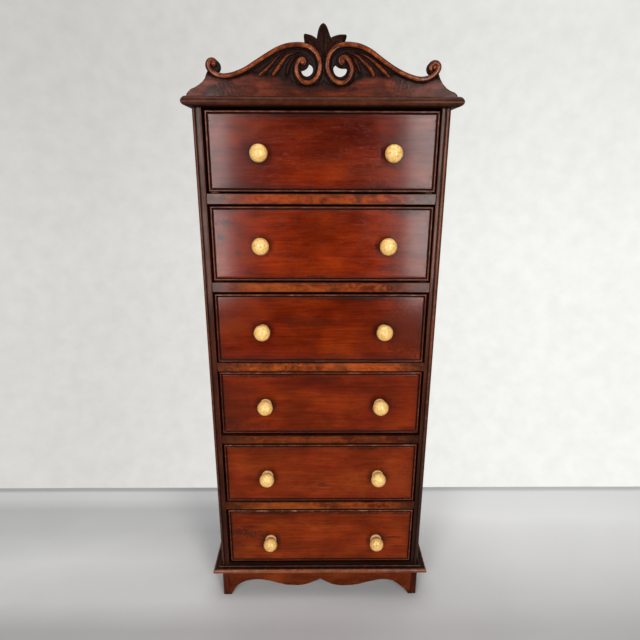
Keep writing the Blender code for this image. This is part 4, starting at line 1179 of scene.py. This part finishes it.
def grid_mesh():
    """The crest's face as small squares, cut to its outline and piercings."""
    xs = np.arange(-GRID_HALF, GRID_HALF + CELL, CELL)
    zs = np.arange(-CELL / 2, GRID_TOP + CELL, CELL)
    zs[0] = -CELL
    gx, gz = np.meshgrid(xs, zs)
    points = np.column_stack([gx.ravel(), gz.ravel()])
    sdf = crest_sdf(points)
    sdf = np.where(np.abs(sdf) < 1e-4, -1e-4, sdf)
    wide = len(xs)
    kept, crossing = {}, {}
    verts, faces, rim = [], [], []

    def corner(index):
        if index not in kept:
            kept[index] = len(verts)
            verts.append(points[index])
        return kept[index]

    def between(a, b):
        key = (min(a, b), max(a, b))
        if key not in crossing:
            a, b = key
            t = sdf[a] / (sdf[a] - sdf[b])
            crossing[key] = len(verts)
            verts.append(points[a] + (points[b] - points[a]) * t)
        return crossing[key]

    inside = (sdf < 0).reshape(len(zs), wide)
    active = inside[:-1, :-1] | inside[:-1, 1:] | inside[1:, :-1] | inside[1:, 1:]
    whole = inside[:-1, :-1] & inside[:-1, 1:] & inside[1:, :-1] & inside[1:, 1:]
    for row, column in zip(*np.nonzero(active)):
        a = row * wide + column
        square = (a, a + 1, a + wide + 1, a + wide)
        if whole[row, column]:
            faces.append(tuple(corner(i) for i in square))
            continue
        ring, cuts = [], []
        for k in range(4):
            p, q = square[k], square[(k + 1) % 4]
            if sdf[p] < 0:
                ring.append(corner(p))
            if (sdf[p] < 0) != (sdf[q] < 0):
                made = between(p, q)
                ring.append(made)
                cuts.append((made, sdf[p] < 0))
        if len(ring) >= 3:
            faces.append(tuple(ring))
        if len(cuts) == 2:
            (first, leaving), (second, _) = cuts
            rim.append((first, second) if leaving else (second, first))
    return np.array(verts), faces, rim


ROLL_SIDES = 22
# How far the rolls sink into the carved face
ROLL_SINK = 0.02
# The rounded end of a roll: (share of the way to its full size, scale)
ROLL_TIPS = ((0.0, 0.05), (0.45, 0.35), (0.80, 0.75))


def scroll_tube(centres, radii):
    """A rounded roll along a line on the crest's face, closed at both ends: points, faces, dirt and painted
    shade, wear.
    """
    along = directions(centres)
    across = np.column_stack([-along[:, 1], along[:, 0]])

    def tip(end, outwards, share, scale):
        centre = centres[end] + outwards * along[end] * radii[end] * (1 - share) * 0.9
        return centre, across[end], radii[end] * scale

    rings = [tip(0, -1, share, scale) for share, scale in ROLL_TIPS]
    rings += zip(centres, across, radii)
    rings += [tip(-1, 1, share, scale) for share, scale in ROLL_TIPS[::-1]]
    points, dirt_and_shade, wear = [], [], []
    for k, (centre, side, radius) in enumerate(rings):
        for j in range(ROLL_SIDES):
            turn = 2 * math.pi * j / ROLL_SIDES
            c, s = math.cos(turn), math.sin(turn)
            tool = 1 + 0.03 * float(waver(np.array(k * 0.11 + j * 0.9), 55, 0.5))
            here = centre + side * radius * np.sign(c) * abs(c) ** 0.92 * tool
            reach = radius * (0.95 * s**0.85 * tool if s > 0 else 1.6 * s) - ROLL_SINK
            points.append((here[0] * CM, CREST_FACE - reach * CM, CREST_FOOT + here[1] * CM))
            # The roll's flanks, turning away from the front, are painted dark as shade; its front is rubbed
            # lighter
            dirt_and_shade.append(float(np.clip(1.0 - 2.1 * (s - 0.54), 0.0, 1.0)))
            wear.append(float(np.clip((s - 0.45) * 2.4, 0, 1)))
    return points, strip_faces(len(rings), ROLL_SIDES), dirt_and_shade, wear


def scroll_radii(count):
    """How thick a roll is along its length."""
    share = np.linspace(0, 1, count)
    radii = 0.285 + 0.020 * swell(share, 0.42, 0.08) - 0.018 * swell(share, 0.66, 0.08)
    radii += 0.028 * swell(share, 0.90, 0.06)
    radii *= 1 - 0.15 * smooth_step(share, 0.94, 1.0)
    radii *= 0.80 + 0.20 * smooth_step(share, 0.0, 0.14)
    return radii


def bead_ball(x, z, radius):
    """The round eye that ends a curl."""
    points, dirt_and_shade, wear = [], [], []
    around, rows = 20, 10
    for i in range(rows + 1):
        a = math.pi * 0.62 * i / rows
        r = radius * math.sin(a)
        for j in range(around):
            t = 2 * math.pi * j / around
            points.append(((x + r * math.cos(t)) * CM, CREST_FACE - (0.10 + radius * 0.75 * math.cos(a)) * CM,
                           CREST_FOOT + (z + r * math.sin(t)) * CM))
            # The eye's rim, turning away from the front, is painted dark as shade; its front is rubbed
            # lighter
            dirt_and_shade.append(float(np.clip((a / math.pi - 0.30) * 3.0, 0, 0.95)))
            wear.append(float(np.clip(1.1 - a, 0, 1)))
    return points, strip_faces(rows + 1, around), dirt_and_shade, wear


def build_crest():
    flat, faces, rim = grid_mesh()
    sdf = crest_sdf(flat)
    height, dirt_and_shade, wear = crest_relief(flat, sdf)
    flat[:, 1] = np.maximum(flat[:, 1], 0.0)
    points = [(x * CM, CREST_FACE - h * CM, CREST_FOOT + z * CM) for (x, z), h in zip(flat, height)]
    dirt_and_shade, wear = list(dirt_and_shade), list(wear)
    back = {}
    for a, b in rim:
        for v in (a, b):
            if v not in back:
                back[v] = len(points)
                points.append((flat[v][0] * CM, CREST_BACK, CREST_FOOT + flat[v][1] * CM))
                dirt_and_shade.append(0.75)
                wear.append(0.0)
        faces.append((b, a, back[a], back[b]))
    follow = {a: b for a, b in rim}
    loops = []
    while follow:
        start, here = next(iter(follow.items()))
        del follow[start]
        loop = [start]
        while here != start and here in follow:
            loop.append(here)
            here = follow.pop(here)
        loops.append(loop)
    loops = [loop for loop in loops if len(loop) > 8]
    loops.sort(key=len, reverse=True)
    flat_loops = [[Vector((flat[v][0], flat[v][1], 0)) for v in loop] for loop in loops]
    order = [v for loop in loops for v in loop]
    for triangle in tessellate_polygon(flat_loops):
        faces.append(tuple(back[order[k]] for k in triangle))
    parts = []
    for scroll in (LEFT_SCROLL, RIGHT_SCROLL):
        line = catmull(scroll, 5)
        parts.append(scroll_tube(line, scroll_radii(len(line))))
    parts += [bead_ball(*eye) for eye in EYES]
    for more, rings, d, w in parts:
        base = len(points)
        points += more
        faces += [tuple(base + i for i in face) for face in rings]
        dirt_and_shade += d
        wear += w
    look = carved_wood("crest_carving")
    make_piece("crest_carved", points, faces, look, "case", ("crest_board",),
               {"dirt_and_shade": dirt_and_shade, "wear": wear}, 55)


# ---------------------------------------------------------------- the room
FLOOR_HALF = 1.1
FLOOR_FRONT = -1.05


def build_floor():
    """A pale sheet under the chest, gently uneven, ending where the backdrop starts."""
    xs = np.linspace(-FLOOR_HALF, FLOOR_HALF, 111)
    ys = np.linspace(FLOOR_FRONT, FLOOR_BACK, 63)
    points = []
    for y in ys:
        for x in xs:
            away = max(0.0, math.hypot(x, y) - 0.30)
            rise = 0.0012 * min(1.0, away / 0.4) * float(waver(np.array(x * 1.7 + y * 0.8), 41, 0.5))
            points.append((x, y, rise - 0.0004 if away > 0 else -0.0004))
    wide = len(xs)
    faces = [
        (r * wide + c, r * wide + c + 1, (r + 1) * wide + c + 1, (r + 1) * wide + c)
        for r in range(len(ys) - 1)
        for c in range(wide - 1)
    ]
    mesh = bpy.data.meshes.new("floor")
    mesh.from_pydata(points, [], faces)
    mesh.polygons.foreach_set("use_smooth", [True] * len(mesh.polygons))
    mesh.materials.append(floor_paper_painted_light("floor_paper_painted_light"))
    made = put_in_scene("floor", mesh)


def build_world():
    """A pale backdrop for the eye with painted light, darker on the left and lighter on the right and lower
    down, and a dim room for the light, darker below and brighter behind.
    """
    world = bpy.data.worlds.new("studio")
    bpy.context.scene.world = world
    world.use_nodes = True
    world.node_tree.nodes.clear()
    n = Nodes(world, "Generated")
    facing = n.axes()
    across = n.span(facing["X"], -0.40, 0.40)
    # Painted light on the backdrop: darker on the left, lighter on the right
    backdrop_painted_light = n.ramp(across, (0.0, (0.660, 0.650, 0.630)), (1.0, (0.890, 0.890, 0.855)))
    weave = n.put("TexNoise", {"Vector": n.place, "Scale": 42.0, "Detail": 4.0}).outputs["Fac"]
    level = n.times(n.span(facing["Z"], -0.15, 0.20, 1.04, 0.90), n.span(weave, 0.30, 0.70, 0.965, 1.035))
    seen = n.put("Background", {"Color": backdrop_painted_light, "Strength": level}).outputs[0]
    dim = n.plus(n.span(facing["Z"], -0.05, 0.35, 0.02, 0.13), n.span(facing["Y"], 0.10, 0.70, 0.0, 0.32))
    room = n.put("Background", {"Color": (0.95, 0.97, 1.0, 1.0), "Strength": dim}).outputs[0]
    eye = n.put("LightPath").outputs["Is Camera Ray"]
    n.put("OutputWorld", {"Surface": n.put("MixShader", {"Fac": eye, 1: room, 2: seen}).outputs[0]})


def add_light(name, place, aim, size, radiance, colour=(1.0, 1.0, 1.0)):
    """A rectangular softbox that is as bright, whatever its size."""
    light = bpy.data.lights.new(name, "AREA")
    light.shape = "RECTANGLE"
    light.size, light.size_y = size
    light.energy = radiance * size[0] * size[1] * math.pi
    light.color = colour
    made = put_in_scene(name, light)
    made.location = place
    made.rotation_mode = "QUATERNION"
    made.rotation_quaternion = (Vector(aim) - Vector(place)).to_track_quat("-Z", "Y")


def build_lights():
    chest = (0.0, -0.08, 0.42)
    add_light("softbox_left", (-0.455, -1.15, 0.60), chest, (0.34, 0.96), 9.7)
    add_light("softbox_right", (0.435, -1.12, 0.60), chest, (0.30, 0.96), 10.9, (1.0, 0.99, 0.97))
    add_light("overhead", (0.10, -0.05, 1.75), (0.0, 0.0, 0.0), (1.5, 1.1), 3.0)


# The photograph's viewpoint
CAMERA_PLACE = (-0.00710, FRONT - 0.58784, 0.60997)
CAMERA_YAW = math.radians(0.57)
CAMERA_PITCH = math.radians(17.24)
CAMERA_ROLL = math.radians(0.19)


def build_camera():
    data = bpy.data.cameras.new("camera")
    data.lens = 28.0
    data.sensor_width = 36.0
    data.clip_start = 0.01
    made = put_in_scene("camera", data)
    forward = Vector((
        math.sin(CAMERA_YAW) * math.cos(CAMERA_PITCH),
        math.cos(CAMERA_YAW) * math.cos(CAMERA_PITCH),
        -math.sin(CAMERA_PITCH),
    ))
    right = Vector((math.cos(CAMERA_YAW), -math.sin(CAMERA_YAW), 0.0))
    up = right.cross(forward)
    right, up = (
        right * math.cos(CAMERA_ROLL) + up * math.sin(CAMERA_ROLL),
        up * math.cos(CAMERA_ROLL) - right * math.sin(CAMERA_ROLL),
    )
    turn = Matrix((right, up, -forward)).transposed()
    made.matrix_world = Matrix.Translation(CAMERA_PLACE) @ turn.to_4x4()
    bpy.context.scene.camera = made


build_camera()
build_world()
build_lights()
build_floor()
dress_cad_nodes()
build_fronts()
build_nails()
build_stiles()
build_boards()
build_knobs()
build_crest()
bpy.context.scene.view_settings.view_transform = "Standard"
bpy.context.scene.view_settings.look = "None"
